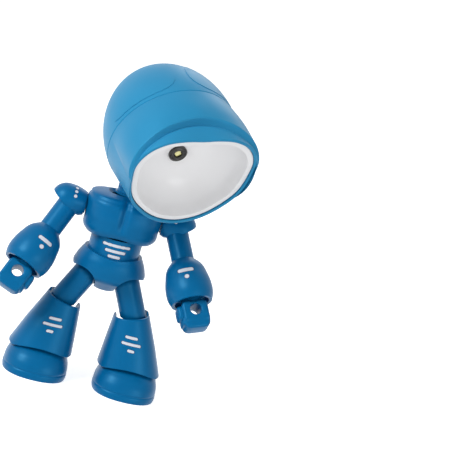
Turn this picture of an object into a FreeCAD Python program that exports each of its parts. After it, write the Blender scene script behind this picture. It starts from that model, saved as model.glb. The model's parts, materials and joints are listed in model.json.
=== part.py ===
import FreeCAD, Part

import math
import os

import Sketcher

# A robot shaped desk lamp: a lamp head on a pan and tilt neck, and a jointed standing body.
# Millimetres. The robot faces -Y, +X is the viewer's right and +Z is up.
# The origin is on the floor, under the middle of the lamp's bounding box.

DOC = FreeCAD.newDocument("robot_lamp")
SHEET = DOC.addObject("Spreadsheet::Sheet", "Sizes")
V = FreeCAD.Vector
X_AXIS = V(1, 0, 0)
Y_AXIS = V(0, 1, 0)
Z_AXIS = V(0, 0, 1)
SIDES = {"left": -1, "right": 1}

DRIVING = {
    # where the body axis stands, seen from the middle of the bounding box
    "body_across": -0.3,
    "body_back": 27.17,
    # walls and running fits
    "wall_thick": 1.8,
    "run_fit": 0.05,
    # head: half egg behind the seam, hood in front of it
    "seam_radius": 35.6,
    "dome_length": 46.5,
    "hood_length": 31.35,
    "brow_back": 20.0,
    "brow_sweep": 54.0,
    "brow_proud": 2.6,
    "hood_roll": -13.0,
    "bowl_depth": 21.0,
    "ledge_width": 3.0,
    "bowl_wall": 0.9,
    "collar_radius": 5.0,
    "emitter_radius": 2.3,
    "button_radius": 4.6,
    "button_travel": 1.5,
    "socket_wide": 9.0,
    "socket_high": 3.3,
    # neck
    "neck_height": 117.9,
    "head_pan": 27.3,
    "head_tilt": 27.0,
    "pivot_back": 10.3,
    "pivot_drop": 40.2,
    "lug_thick": 5.0,
    "eye_radius": 4.0,
    "neck_radius": 4.0,
    "pin_radius": 1.5,
    # chest and waist
    "chest_base": 86.0,
    "chest_top": 109.5,
    "shoulder_height": 98.5,
    "shoulder_out": 29.4,
    "chest_side": 21.3,
    "axle_radius": 2.0,
    "waist_radius": 14.4,
    "waist_base": 68.3,
    # arms
    "arm_splay": 22.0,
    "swing_left": 30.0,
    "swing_right": 40.0,
    "arm_radius": 6.2,
    "upper_length": 20.8,
    "gauntlet_length": 24.8,
    "gauntlet_radius": 12.8,
    "gauntlet_mouth": 11.2,
    "elbow_radius": 3.5,
    "wrist_radius": 3.0,
    "hand_hole": 3.15,
    "hand_wide": 14.4,
    "hand_deep": 11.5,
    "hand_long": 15.6,
    "hole_drop": 5.4,
    # pelvis and legs
    "collar_height": 77.0,
    "belt_height": 66.0,
    "crotch_height": 55.0,
    "hip_height": 60.0,
    "hip_out": 12.1,
    "thigh_splay": 25.7,
    "thigh_radius": 7.15,
    "thigh_length": 24.0,
    "thigh_foot": 41.5,
    "knee_height": 36.5,
    "knee_out": 23.4,
    "guard_top": 44.0,
    "guard_hem": 13.0,
    "ankle_height": 11.0,
    "ankle_out": 25.2,
    "foot_out": 25.5,
    "foot_front": 3.6,
    "foot_half_wide": 18.0,
    "foot_half_long": 18.6,
    "foot_high": 18.4,
    "sole_thick": 2.0,
}


class Size:
    """A length with the sheet expression that gives it, so that both stay the same."""

    def __init__(self, text, value):
        self.text = text
        self.value = value

    def joined(self, other, sign, result):
        return Size(f"({self.text} {sign} {as_size(other).text})", result)

    def __add__(self, other):
        return self.joined(other, "+", self.value + as_size(other).value)

    def __sub__(self, other):
        return self.joined(other, "-", self.value - as_size(other).value)

    def __mul__(self, other):
        return self.joined(other, "*", self.value * as_size(other).value)

    def __truediv__(self, other):
        return self.joined(other, "/", self.value / as_size(other).value)

    def __neg__(self):
        return Size(f"(0 - {self.text})", -self.value)

    def __float__(self):
        return float(self.value)


def as_size(thing):
    return thing if isinstance(thing, Size) else Size(repr(float(thing)), float(thing))


class Sizes:
    """The driving dimensions, each read by its name."""


def fill_sheet():
    for row, (name, number) in enumerate(DRIVING.items(), start=1):
        SHEET.set(f"A{row}", name)
        SHEET.set(f"B{row}", str(number))
        SHEET.setAlias(f"B{row}", name)
        setattr(Sizes, name, Size(f"Sizes.{name}", number))
    DOC.recompute()


fill_sheet()
S = Sizes
WALL = float(S.wall_thick)
FAR = 200.0


# Placing


def turn(axis, degrees):
    return FreeCAD.Placement(V(), FreeCAD.Rotation(axis, degrees))


def move(across, back, up):
    return FreeCAD.Placement(V(float(across), float(back), float(up)), FreeCAD.Rotation())


BODY = move(S.body_across, S.body_back, 0)
HEAD = (
    BODY
    * move(0, 0, S.neck_height)
    * turn(Z_AXIS, float(S.head_pan))
    * turn(X_AXIS, float(S.head_tilt))
    * move(0, -S.pivot_back, S.pivot_drop)
)
NECK = BODY * turn(Z_AXIS, float(S.head_pan))


def shoulder_place(side):
    return BODY * move(S.shoulder_out * SIDES[side], 0, S.shoulder_height)


def arm_place(side):
    """The arm's own frame: origin on the shoulder axis, -Z along the arm."""
    swing = float(S.swing_left if side == "left" else S.swing_right)
    return (
        shoulder_place(side) * turn(X_AXIS, -swing) * turn(Y_AXIS, -SIDES[side] * float(S.arm_splay))
    )


def hip_place(side):
    return (
        BODY
        * move(S.hip_out * SIDES[side], 0, S.hip_height)
        * turn(Y_AXIS, -SIDES[side] * float(S.thigh_splay))
    )


# Sketched bodies


def origin_plane(body, role):
    return next(o for o in body.Origin.OriginFeatures if o.Role == role)


def point_rule(sketch, edge, end, across, along, name):
    """Hold one corner at its two distances from the sketch's origin."""
    for word, kind, length, axis in (
        ("across", "DistanceX", across, -2),
        ("along", "DistanceY", along, -1),
    ):
        if abs(length.value) < 1e-9:
            sketch.addConstraint(Sketcher.Constraint("PointOnObject", edge, end, axis))
            continue
        at = sketch.addConstraint(Sketcher.Constraint(kind, -1, 1, edge, end, length.value))
        sketch.renameConstraint(at, f"{word}_{name}")
        sketch.setExpression(f"Constraints.{word}_{name}", length.text)


def outline(body, role, name, corners):
    """A closed outline. Each corner is (across, along) or (across, along, radius): the radius,
    signed, bends the edge from this corner to the next to its right when it is positive."""
    sketch = body.newObject("Sketcher::SketchObject", name)
    sketch.AttachmentSupport = [(origin_plane(body, role), "")]
    sketch.MapMode = "FlatFace"
    ends = [(as_size(c[0]), as_size(c[1])) for c in corners]
    for n, corner in enumerate(corners):
        start = V(ends[n][0].value, ends[n][1].value)
        follow = ends[(n + 1) % len(ends)]
        end = V(follow[0].value, follow[1].value)
        if len(corner) == 3:
            radius = abs(as_size(corner[2]).value)
            chord = end - start
            right = V(chord.y, -chord.x).normalize() * math.copysign(1, as_size(corner[2]).value)
            sag = radius - math.sqrt(radius**2 - (chord.Length / 2) ** 2)
            sketch.addGeometry(Part.Arc(start, (start + end) * 0.5 + right * sag, end))
        else:
            sketch.addGeometry(Part.LineSegment(start, end))
    return sketch, ends


def edge_ends(sketch, n, start):
    """Which end of an edge lies at its start point: an arc may be stored the other way round."""
    first = sketch.getPoint(n, 1)
    return (1, 2) if (first - start).Length < 1e-6 else (2, 1)


def closed_outline(body, role, name, corners):
    sketch, ends = outline(body, role, name, corners)
    count = len(ends)
    order = [edge_ends(sketch, n, V(e[0].value, e[1].value)) for n, e in enumerate(ends)]
    for n in range(count):
        after = (n + 1) % count
        sketch.addConstraint(
            Sketcher.Constraint("Coincident", n, order[n][1], after, order[after][0])
        )
    for n, (across, along) in enumerate(ends):
        point_rule(sketch, n, order[n][0], across, along, str(n))
    for n, corner in enumerate(corners):
        if len(corner) == 3:
            bend = as_size(corner[2])
            at = sketch.addConstraint(Sketcher.Constraint("Radius", n, abs(bend.value)))
            sketch.renameConstraint(at, f"bend_{n}")
            sketch.setExpression(f"Constraints.bend_{n}", f"abs({bend.text})")
    return sketch


def turned(label, corners):
    """A body turned about its own Z axis from an outline in its XZ plane."""
    body = DOC.addObject("PartDesign::Body", label)
    sketch = closed_outline(body, "XZ_Plane", label + "_outline", corners)
    feature = body.newObject("PartDesign::Revolution", label + "_turn")
    feature.Profile = sketch
    feature.ReferenceAxis = (sketch, ["V_Axis"])
    feature.Angle = 360
    sketch.Visibility = False
    DOC.recompute()
    return body


def padded(label, role, corners, length, symmetric=True):
    """A body padded from an outline in one of its own planes."""
    body = DOC.addObject("PartDesign::Body", label)
    sketch = closed_outline(body, role, label + "_outline", corners)
    feature = body.newObject("PartDesign::Pad", label + "_pad")
    feature.Profile = sketch
    feature.Midplane = symmetric
    feature.setExpression("Length", as_size(length).text)
    DOC.recompute()
    return body


def pin(label, length, radius, across=True):
    """A plain pin along X (or along Z), centred on its own middle, with both ends chamfered."""
    half = as_size(length) / 2
    body = turned(label, [(0, -half), (radius, -half), (radius, half), (0, half)])
    plain = body.Tip
    rims = [
        f"Edge{n}"
        for n, edge in enumerate(plain.Shape.Edges, start=1)
        if edge.Closed and abs(abs(edge.CenterOfMass.z) - half.value) < 1e-6
    ]
    chamfer = body.newObject("PartDesign::Chamfer", label + "_ends")
    chamfer.Base = (plain, rims)
    chamfer.Size = 0.25
    DOC.recompute()
    body.Placement = turn(Y_AXIS, 90) if across else FreeCAD.Placement()
    return body


# Plain shapes, used where a piece has no sketch of its own


def box(low, high):
    low = V(*[float(c) for c in low])
    size = V(*[float(c) for c in high]) - low
    return Part.makeBox(size.x, size.y, size.z, low)


def rod(radius, start, end):
    start = V(*[float(c) for c in start])
    run = V(*[float(c) for c in end]) - start
    return Part.makeCylinder(float(radius), run.Length, start, run)


def ring(half_wide, half_deep, squareness, height, centre=(0.0, 0.0), points=32):
    """A closed curve at one height: a circle drawn out to its two half sizes and squared off."""
    spots = []
    for n in range(points):
        angle = 2 * math.pi * n / points
        c, s = math.cos(angle), math.sin(angle)
        sides = abs(c / half_wide) ** squareness + abs(s / half_deep) ** squareness
        reach = sides ** (-1 / squareness)
        spots.append(V(centre[0] + reach * c, centre[1] + reach * s, height))
    return closed_curve(spots)


def closed_curve(spots):
    curve = Part.BSplineCurve()
    curve.interpolate(Points=spots, PeriodicFlag=True)
    return Part.Wire([curve.toShape()])


def lofted(rings, ruled=False):
    return Part.makeLoft(rings, True, ruled)


def feature(label, shape, placement=None):
    piece = DOC.addObject("Part::Feature", label)
    piece.Shape = shape.removeSplitter() if shape.ShapeType != "Compound" else shape
    piece.Placement = placement or FreeCAD.Placement()
    return piece


def half(shape, front):
    """The front or the back half of a shape, split on the body's middle plane."""
    low, high = (-FAR, 0) if front else (0, FAR)
    return shape.common(box((-FAR, low, -FAR), (FAR, high, FAR)))


# Head, in its own frame: origin at the middle of the seam, the lamp's axis along -Y


def hood_outline(inset, depth):
    """The hood's outline: a circle at the seam that becomes wide at the brow and narrow at the
    chin. Depth is 0 at the seam and 1 at the opening."""
    reach = float(S.seam_radius)
    half_corners = [
        (0.0, 0.832),
        (0.564, 0.810),
        (0.866, 0.658),
        (0.992, 0.3525),
        (0.987, 0.094),
        (0.892, -0.273),
        (0.660, -0.578),
        (0.3375, -0.799),
        (0.0, -0.8695),
    ]
    loop = half_corners + [(-x, z) for x, z in reversed(half_corners[1:-1])]
    spots = []
    for x, z in loop:
        angle = math.atan2(x, z)
        share = math.hypot(x, z) * depth + (1 - depth)
        out = reach * share - inset
        spots.append(V(out * math.sin(angle), -depth * float(S.hood_length), out * math.cos(angle)))
    return spots


def hood_solid(inset, start=0.0, end=1.0):
    steps = [start + (end - start) * n / 3 for n in range(4)]
    return lofted([closed_curve(hood_outline(inset, d)) for d in steps])


def brow_solid():
    """The visor over the opening: the hood swollen upwards, cut back by an upright cylinder."""
    rings = []
    for depth in (0.0, 0.35, 0.7, 1.0):
        proud = float(S.brow_proud) * math.sin(min(depth / 0.6, 1.0) * math.pi / 2)
        spots = []
        for spot in hood_outline(0.5 * (1 - depth) ** 2, depth):
            lift = max(0.0, spot.z / float(S.seam_radius) - 0.1) ** 0.5
            across = V(spot.x, 0, spot.z)
            spots.append(spot + across * (proud * lift / across.Length))
        rings.append(closed_curve(spots))
    sweep = float(S.brow_sweep)
    cutter = Part.makeCylinder(sweep, FAR, V(0, -float(S.brow_back) - sweep, -FAR / 2))
    top = box((-FAR, -FAR, 6.0), (FAR, FAR, FAR))
    return lofted(rings).cut(cutter).common(top)


def dome_solid(inset):
    """Half of an egg behind the seam: round across, longer along the lamp's axis."""
    across = float(S.seam_radius) - inset
    along = float(S.dome_length) - inset
    stretch = FreeCAD.Matrix()
    stretch.scale(1, along / across, 1)
    ball = Part.makeSphere(across, V(), Z_AXIS, -90, 90, 360).transformGeometry(stretch)
    return ball.common(box((-FAR, 0, -FAR), (FAR, FAR, FAR)))


SOCKET_DROP = 15.5
BOARD_BACK = 30.2
BATTERY_BACK = 9.5
BOSS_OUT = 31.0


def rolled(shape):
    """The opening and the brow sit turned a little about the lamp's axis, in the round seam."""
    return shape.transformed(turn(Y_AXIS, float(S.hood_roll)).Matrix)


def boss_spots():
    """Where the four head screws stand, round the seam and inside the shells."""
    return [
        V(BOSS_OUT * math.cos(math.radians(a)), 0, BOSS_OUT * math.sin(math.radians(a)))
        for a in (25, 155, 215, 325)
    ]


def head_shells():
    pivot_y = float(S.pivot_back)
    lug = float(S.lug_thick) / 2 + 0.2
    dome = dome_solid(0).cut(dome_solid(WALL))
    dome = dome.cut(rod(S.button_radius + 0.15, (0, 30, 0), (0, 60, 0)))
    wide, high = float(S.socket_wide) / 2 + 0.1, float(S.socket_high) / 2 + 0.1
    dome = dome.cut(box((-wide, 30, -SOCKET_DROP - high), (wide, 60, -SOCKET_DROP + high)))
    dome = dome.cut(box((-lug, pivot_y - 4.5, -45), (lug, pivot_y + 4.5, -25)))
    hood = hood_solid(0).fuse(brow_solid()).cut(hood_solid(WALL, -0.05, 1.05))
    hood = rolled(hood)
    room = rolled(hood_solid(0.2, 0, 1))
    for spot in boss_spots():
        dome = dome.fuse(rod(3.0, spot, spot + V(0, 9, 0)).common(dome_solid(0)))
        dome = dome.cut(rod(1.0, spot, spot + V(0, 8, 0)))
        ear = rod(3.0, spot, spot - V(0, 2.4, 0)).fuse(
            box((-3, -2.4, 0), (3, 0, 6)).transformed(
                FreeCAD.Placement(spot, FreeCAD.Rotation(Z_AXIS, V(spot.x, 0, spot.z))).Matrix
            )
        )
        hood = hood.fuse(ear.common(room))
        hood = hood.cut(rod(1.3, spot + V(0, 1, 0), spot - V(0, 5, 0)))
    feature("rear_dome", dome, HEAD)
    feature("front_hood", hood, HEAD)
    screws = []
    for spot in boss_spots():
        shank = rod(0.95, spot + V(0, 7.5, 0), spot - V(0, 2.4, 0))
        screws.append(shank.fuse(rod(2.2, spot - V(0, 2.4, 0), spot - V(0, 4.0, 0))))
    feature("head_screws", Part.makeCompound(screws), HEAD)


def bowl_section(share, back, roundness):
    """One ring of the bowl: the opening's outline made smaller and rounder, behind the opening."""
    round_radius = float(S.seam_radius) * 0.9
    spots = []
    for spot in hood_outline(WALL + 0.25, 1.0):
        across = V(spot.x, 0, spot.z)
        out = across.Length * (1 - roundness) + round_radius * roundness
        spots.append(across * (share * out / across.Length) + V(0, back, 0))
    return closed_curve(spots)


def bowl_solid(thicker):
    """The space in front of the bowl, or with a wall's thickness added the bowl's outside."""
    front = -float(S.hood_length) + 1.0
    depth = float(S.bowl_depth)
    rim = 1 - float(S.ledge_width) / 34.0
    steps = [(rim, 0.0, 0.0), (0.80, 0.40, 0.35), (0.55, 0.78, 0.8), (0.20, 1.0, 1.0)]
    rings = [
        bowl_section(share + thicker / 34.0, front + back * depth + thicker, roundness)
        for share, back, roundness in steps
    ]
    return lofted(rings)


def lamp_pieces():
    front = -float(S.hood_length) + 1.0
    floor = front + float(S.bowl_depth)
    flange = lofted([bowl_section(1.0, front, 0.0), bowl_section(0.985, front + 1.4, 0.0)])
    hollow = bowl_solid(0.0)
    rim = 1 - float(S.ledge_width) / 34.0
    lip = lofted([bowl_section(rim, front - 0.5, 0), bowl_section(rim, front, 0)])
    hole = rod(S.collar_radius + 0.05, (0, floor - 3, 0), (0, floor + 4, 0))
    bowl = flange.fuse(bowl_solid(float(S.bowl_wall))).cut(hollow).cut(lip).cut(hole)
    feature("reflector_bowl", bowl, HEAD * turn(Y_AXIS, float(S.hood_roll)))

    collar = turned(
        "led_collar",
        [
            (S.emitter_radius + 0.1, 0),
            (S.collar_radius, 0),
            (S.collar_radius, S.bowl_wall + 1.4),
            (S.collar_radius - 0.9, S.bowl_wall + 2.2),
            (S.emitter_radius + 0.9, S.bowl_wall + 1.4),
            (S.emitter_radius + 0.1, S.bowl_wall + 1.4),
        ],
    )
    lens = turned(
        "led_lens",
        [
            (0, 0),
            (S.emitter_radius, 0),
            (S.emitter_radius, S.bowl_wall + 0.6),
            (0, S.bowl_wall + 1.5),
        ],
    )
    face_forward = turn(X_AXIS, 90)
    seat = floor + float(S.bowl_wall) + 0.05
    collar.Placement = HEAD * move(0, seat, 0) * face_forward
    lens.Placement = HEAD * move(0, seat, 0) * face_forward
    board = turned("led_board", [(0, 0), (8.5, 0), (8.5, 1.6), (0, 1.6)])
    board.Placement = HEAD * move(0, seat + 1.6, 0) * face_forward


def head_inside():
    """Battery, boards, switch, socket and the bracket that the neck carries."""
    back = BOARD_BACK
    board = padded(
        "control_board", "XZ_Plane", [(-14, -18), (14, -18), (14, 9), (-14, 9)], 1.6
    )
    board.Placement = HEAD * move(0, back, 0)
    face = back + 0.8
    switch = box((-3, face, -3), (3, face + 2.6, 3)).fuse(
        rod(1.6, (0, face + 2.6, 0), (0, face + 3.4, 0))
    )
    feature("tact_switch", switch, HEAD)
    wide, high = float(S.socket_wide) / 2, float(S.socket_high) / 2
    mouth = 41.2
    shell = box((-wide, face, -high), (wide, mouth, high))
    hollow = box((-wide + 0.4, face + 3, -high + 0.4), (wide - 0.4, mouth + 1, high - 0.4))
    tongue = box((-wide + 1.6, face + 2.9, -0.35), (wide - 1.6, mouth - 0.8, 0.35))
    feature("charge_socket", shell.cut(hollow).fuse(tongue), HEAD * move(0, 0, -SOCKET_DROP))

    cell = padded("battery_cell", "XZ_Plane", [(-20, -13), (20, -13), (20, 15), (-20, 15)], 7.0)
    plain = cell.Tip
    corners = [
        f"Edge{n}"
        for n, edge in enumerate(plain.Shape.Edges, start=1)
        if abs(edge.tangentAt(edge.FirstParameter).y) > 0.99
    ]
    soften = cell.newObject("PartDesign::Fillet", "battery_cell_round")
    soften.Base = (plain, corners)
    soften.Radius = 2.0
    DOC.recompute()
    cell.Placement = HEAD * move(0, BATTERY_BACK, 0)
    low, high_z = BATTERY_BACK - 3.6, BATTERY_BACK + 3.6
    tray = box((-21.6, low - 1.2, -14.6), (21.6, high_z + 1.2, 12))
    tray = tray.cut(box((-20.1, low, -13.1), (20.1, high_z, 30)))
    tray = tray.cut(box((-14, low - 5, -9), (14, high_z + 5, 30)))
    feature("battery_cradle", tray, HEAD)

    pivot_y, drop, thick = float(S.pivot_back), float(S.pivot_drop), float(S.lug_thick) / 2
    eye = float(S.eye_radius)
    lug = rod(eye, (-thick, pivot_y, -drop), (thick, pivot_y, -drop))
    lug = lug.fuse(box((-thick, pivot_y - eye, -drop), (thick, pivot_y + eye, -30.5)))
    lug = lug.fuse(box((-6, pivot_y - 6, -32.3), (6, pivot_y + 6, -30.3)))
    lug = lug.cut(rod(S.pin_radius + S.run_fit, (-9, pivot_y, -drop), (9, pivot_y, -drop)))
    way_out = box((-thick, pivot_y - 4.5, -60), (thick, pivot_y + 4.5, -25))
    feature("neck_bracket", lug.common(dome_solid(WALL + 0.05).fuse(way_out)), HEAD)

    cap = turned(
        "power_button",
        [
            (0, 0),
            (1.8, 0),
            (1.8, 5.0),
            (S.button_radius + 0.9, 5.0),
            (S.button_radius + 0.9, 6.2),
            (S.button_radius, 6.2),
            (S.button_radius, 11.2),
            (S.button_radius - 0.8, 12.0),
            (0, 12.4),
        ],
    )
    start = face + 3.4 + float(S.button_travel) + 0.1
    cap.Placement = HEAD * move(0, start, 0) * turn(X_AXIS, -90)


# Neck


def neck_pieces():
    up, gap, ear = float(S.neck_height), float(S.lug_thick) / 2 + 0.55, 2.4
    base = float(S.chest_top) + 1.0
    shaft_foot = 101.5
    ears = []
    for s in (-1, 1):
        near, far = sorted((s * gap, s * (gap + ear)))
        eye = rod(4.4, (near, 0, up), (far, 0, up))
        ears.append(eye.fuse(box((near, -4.4, base), (far, 4.4, up))))
    post = rod(6.8, (0, 0, base), (0, 0, base + 2.2)).fuse(ears)
    post = post.fuse(rod(S.neck_radius, (0, 0, shaft_foot), (0, 0, base)))
    groove = rod(8, (0, 0, 102.3), (0, 0, 103.3)).cut(rod(3.4, (0, 0, 101), (0, 0, 104)))
    post = post.cut(groove).cut(rod(S.pin_radius, (-20, 0, up), (20, 0, up)))
    feature("neck_post", post, NECK)
    tilt = pin("tilt_pin", (gap + ear) * 2 - 0.4, S.pin_radius)
    tilt.Placement = NECK * move(0, 0, up) * tilt.Placement
    washers = []
    for s in (-1, 1):
        inner, outer = float(S.lug_thick) / 2 + 0.03, gap
        disc = rod(4.0, (s * inner, 0, up), (s * outer, 0, up))
        washers.append(disc.cut(rod(S.pin_radius, (-20, 0, up), (20, 0, up))))
    feature("friction_washers", Part.makeCompound(washers), NECK)
    clip = turned("neck_clip", [(3.4, 102.35), (6.2, 102.35), (6.2, 103.25), (3.4, 103.25)])
    clip.Placement = NECK
    top = float(S.chest_top) + 0.95
    bush = turned(
        "neck_bush",
        [
            (S.neck_radius + S.run_fit, 103.4),
            (6.0, 103.4),
            (6.0, S.chest_top),
            (8.0, S.chest_top),
            (8.0, top),
            (S.neck_radius + S.run_fit, top),
        ],
    )
    bush.Placement = BODY


# Torso


def chest_solid(inset):
    """The chest: narrow at the hem, widest at the shoulders, domed on top."""
    base, top = float(S.chest_base), float(S.chest_top)
    steps = [
        (0.0, 16.3, 15.2),
        (0.11, 18.9, 16.3),
        (0.34, 20.9, 17.0),
        (0.60, 21.3, 16.8),
        (0.83, 20.0, 15.2),
        (0.95, 16.0, 12.2),
        (1.0, 11.5, 9.0),
    ]
    rings = []
    for share, wide, deep in steps:
        low, high = base + inset, top - inset
        rings.append(ring(wide - inset, deep - inset, 2.5, low + (high - low) * share))
    return lofted(rings)


def torso_pieces():
    height, side = float(S.shoulder_height), float(S.chest_side)
    outer = chest_solid(0)
    shell = outer.cut(chest_solid(WALL))
    for s in (-1, 1):
        shell = shell.fuse(rod(6.2, (s * 14, 0, height), (s * side, 0, height)))
    cleft = rod(2.6, (0, -19.0, 91), (0, -18.4, 107))
    axle_hole = rod(S.axle_radius, (-40, 0, height), (40, 0, height))
    posts = []
    for s in (-1, 1):
        posts.append(rod(2.4, (s * 9.5, -15, 93), (s * 9.5, 15, 93)).common(outer))
    shell = shell.fuse(posts)
    shell = shell.cut(rod(6.0, (0, 0, 101), (0, 0, 120))).cut(cleft).cut(axle_hole)
    for s in (-1, 1):
        shell = shell.cut(rod(1.0, (s * 9.5, -9, 93), (s * 9.5, 12, 93)))
        shell = shell.cut(rod(1.9, (s * 9.5, 11.5, 93), (s * 9.5, 20, 93)))
    feature("chest_front", half(shell, True), BODY)
    feature("chest_back", half(shell, False), BODY)
    screws = []
    for s in (-1, 1):
        shank = rod(0.95, (s * 9.5, -8, 93), (s * 9.5, 11.5, 93))
        screws.append(shank.fuse(rod(1.8, (s * 9.5, 11.5, 93), (s * 9.5, 13, 93))))
    feature("chest_screws", Part.makeCompound(screws), BODY)
    axle = pin("shoulder_axle", (S.shoulder_out + 4.4) * 2, S.axle_radius)
    axle.Placement = BODY * move(0, 0, height) * axle.Placement
    washers = []
    for s in (-1, 1):
        disc = rod(5.4, (s * side, 0, height), (s * (side + 0.5), 0, height))
        washers.append(disc.cut(rod(S.axle_radius, (-40, 0, height), (40, 0, height))))
    feature("shoulder_washers", Part.makeCompound(washers), BODY)
    base = S.waist_base
    core = turned(
        "waist_core",
        [
            (2.1, base),
            (S.waist_radius, base),
            (S.waist_radius, S.chest_base),
            (S.waist_radius - 1.8, S.chest_base),
            (S.waist_radius - 1.8, base + 2.0),
            (2.1, base + 2.0),
        ],
    )
    core.Placement = BODY


# Arms


def cap_outline(inset):
    """The shoulder cap's outline along the shoulder axis, from the chest outwards."""
    start = S.chest_side + 0.6
    return [
        (0, start + inset),
        (6.4 - inset, start + inset, 22.0),
        (8.7 - inset, 33.6, 9.2),
        (0, 41.0 - inset),
    ]


def arm_pieces(side):
    s = SIDES[side]
    place = arm_place(side)
    out, reach = float(S.shoulder_out), float(S.upper_length)
    to_arm = place.inverse() * shoulder_place(side)
    hub = rod(S.arm_radius, (s * (float(S.chest_side) + 0.6 - out), 0, 0), (s * 4.6, 0, 0))
    hub = hub.transformed(to_arm.Matrix)
    bore = rod(S.axle_radius + S.run_fit, (s * -20, 0, 0), (s * 4.45, 0, 0))
    bore = bore.transformed(to_arm.Matrix)
    tube = Part.makeSphere(float(S.arm_radius)).fuse(rod(S.arm_radius, (0, 0, 0), (0, 0, -reach)))
    peg = rod(S.elbow_radius, (0, 0, -reach), (0, 0, -reach - 9.4))
    arm = tube.fuse([hub, peg])
    inner_wall = box((-FAR, -FAR, -FAR), (float(S.chest_side) + 0.6 - out, FAR, FAR))
    if s < 0:
        inner_wall = box((-(float(S.chest_side) + 0.6 - out), -FAR, -FAR), (FAR, FAR, FAR))
    arm = arm.cut(inner_wall.transformed(to_arm.Matrix)).cut(bore)
    feature(f"upper_arm_{side}", arm, place)

    outer = turned(f"cap_form_{side}", cap_outline(0)).Shape
    inner = turned(f"cap_hollow_{side}", cap_outline(1.5)).Shape
    lie = turn(Y_AXIS, 90 * s)
    cap = outer.transformed(lie.Matrix).cut(inner.transformed(lie.Matrix))
    cap = cap.cut(rod(S.arm_radius + 0.02, (0, 0, 0), (s * 30, 0, 0)))
    cut = box((-FAR, -FAR, -FAR), (FAR, FAR, 0)).transformed(
        (move(s * 39.5, 0, 3.0) * turn(Y_AXIS, -s * 33)).Matrix
    )
    shape = cap.cut(cut).transformed(move(-s * out, 0, 0).Matrix)
    arm_way = rod(float(S.arm_radius) + 0.02, (0, 0, 0), (0, 0, -reach))
    shape = shape.cut(arm_way.transformed(to_arm.inverse().Matrix))
    feature(f"shoulder_cap_{side}", biggest(shape), shoulder_place(side))

    gauntlet = turned(
        f"gauntlet_{side}",
        [
            (S.elbow_radius + S.run_fit, 0),
            (S.arm_radius + 0.3, 0, -18.0),
            (S.gauntlet_radius, -S.gauntlet_length * 0.66, -18.0),
            (S.gauntlet_mouth, -S.gauntlet_length),
            (S.gauntlet_mouth - 1.8, -S.gauntlet_length),
            (S.gauntlet_mouth - 1.8, -S.gauntlet_length + 4.4),
            (S.wrist_radius + S.run_fit, -S.gauntlet_length + 4.4),
            (S.wrist_radius + S.run_fit, -12.0),
            (0, -12.0),
            (0, -9.8),
            (S.elbow_radius + S.run_fit, -9.8),
        ],
    )
    gauntlet.Placement = place * move(0, 0, -S.upper_length - 0.1)

    hand = fist(f"hand_{side}", s)
    hand.Placement = place * move(0, 0, -S.upper_length - S.gauntlet_length)


def biggest(shape):
    return max(shape.Solids, key=lambda solid: solid.Volume)


def fist(label, s):
    """A closed hand on a wrist peg. The hole through it takes a small rod."""
    wide, deep, long = S.hand_wide / 2, S.hand_deep, S.hand_long
    corners = [
        (-wide, -long + 2.2),
        (-wide + 2.2, -long),
        (wide - 2.2, -long),
        (wide, -long + 2.2),
        (wide, -2.6),
        (wide - 2.6, 0),
        (-wide + 2.6, 0),
        (-wide, -2.6),
    ]
    palm = padded(label + "_palm", "XZ_Plane", corners, deep)
    thumb_ends = sorted((0, -s * (float(wide) + 2.6)))
    thumb = box((thumb_ends[0], -4.4, -10.3), (thumb_ends[1], 4.0, -2.3))
    wrist = rod(5.4, (0, 0, -1), (0, 0, 4.2))
    peg = rod(S.wrist_radius, (0, 0, 4.2), (0, 0, 12.4))
    solid = palm.Shape.fuse([thumb, wrist, peg])
    solid = solid.cut(rod(S.hand_hole, (0, -20, -S.hole_drop), (0, 20, -S.hole_drop)))
    finger_step = box(
        (-float(wide) * 0.55, -20, -float(long) - 1), (float(wide) * 0.75, -4.9, -12.4)
    )
    solid = solid.cut(finger_step)
    return feature(label, solid)


# Pelvis


def pelvis_solid(inset=0.0):
    belt, collar, low = float(S.belt_height), float(S.collar_height), float(S.crotch_height)
    steps = [
        (low, 5.8, 6.0),
        (low + 3.5, 11.0, 11.0),
        (belt - 4.0, 18.2, 15.6),
        (belt, 20.5, 17.0),
        (belt + 4.0, 19.6, 17.3),
        (collar, 16.2, 16.2),
    ]
    return lofted([ring(w - inset, d - inset, 2.15, z) for z, w, d in steps])


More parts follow.
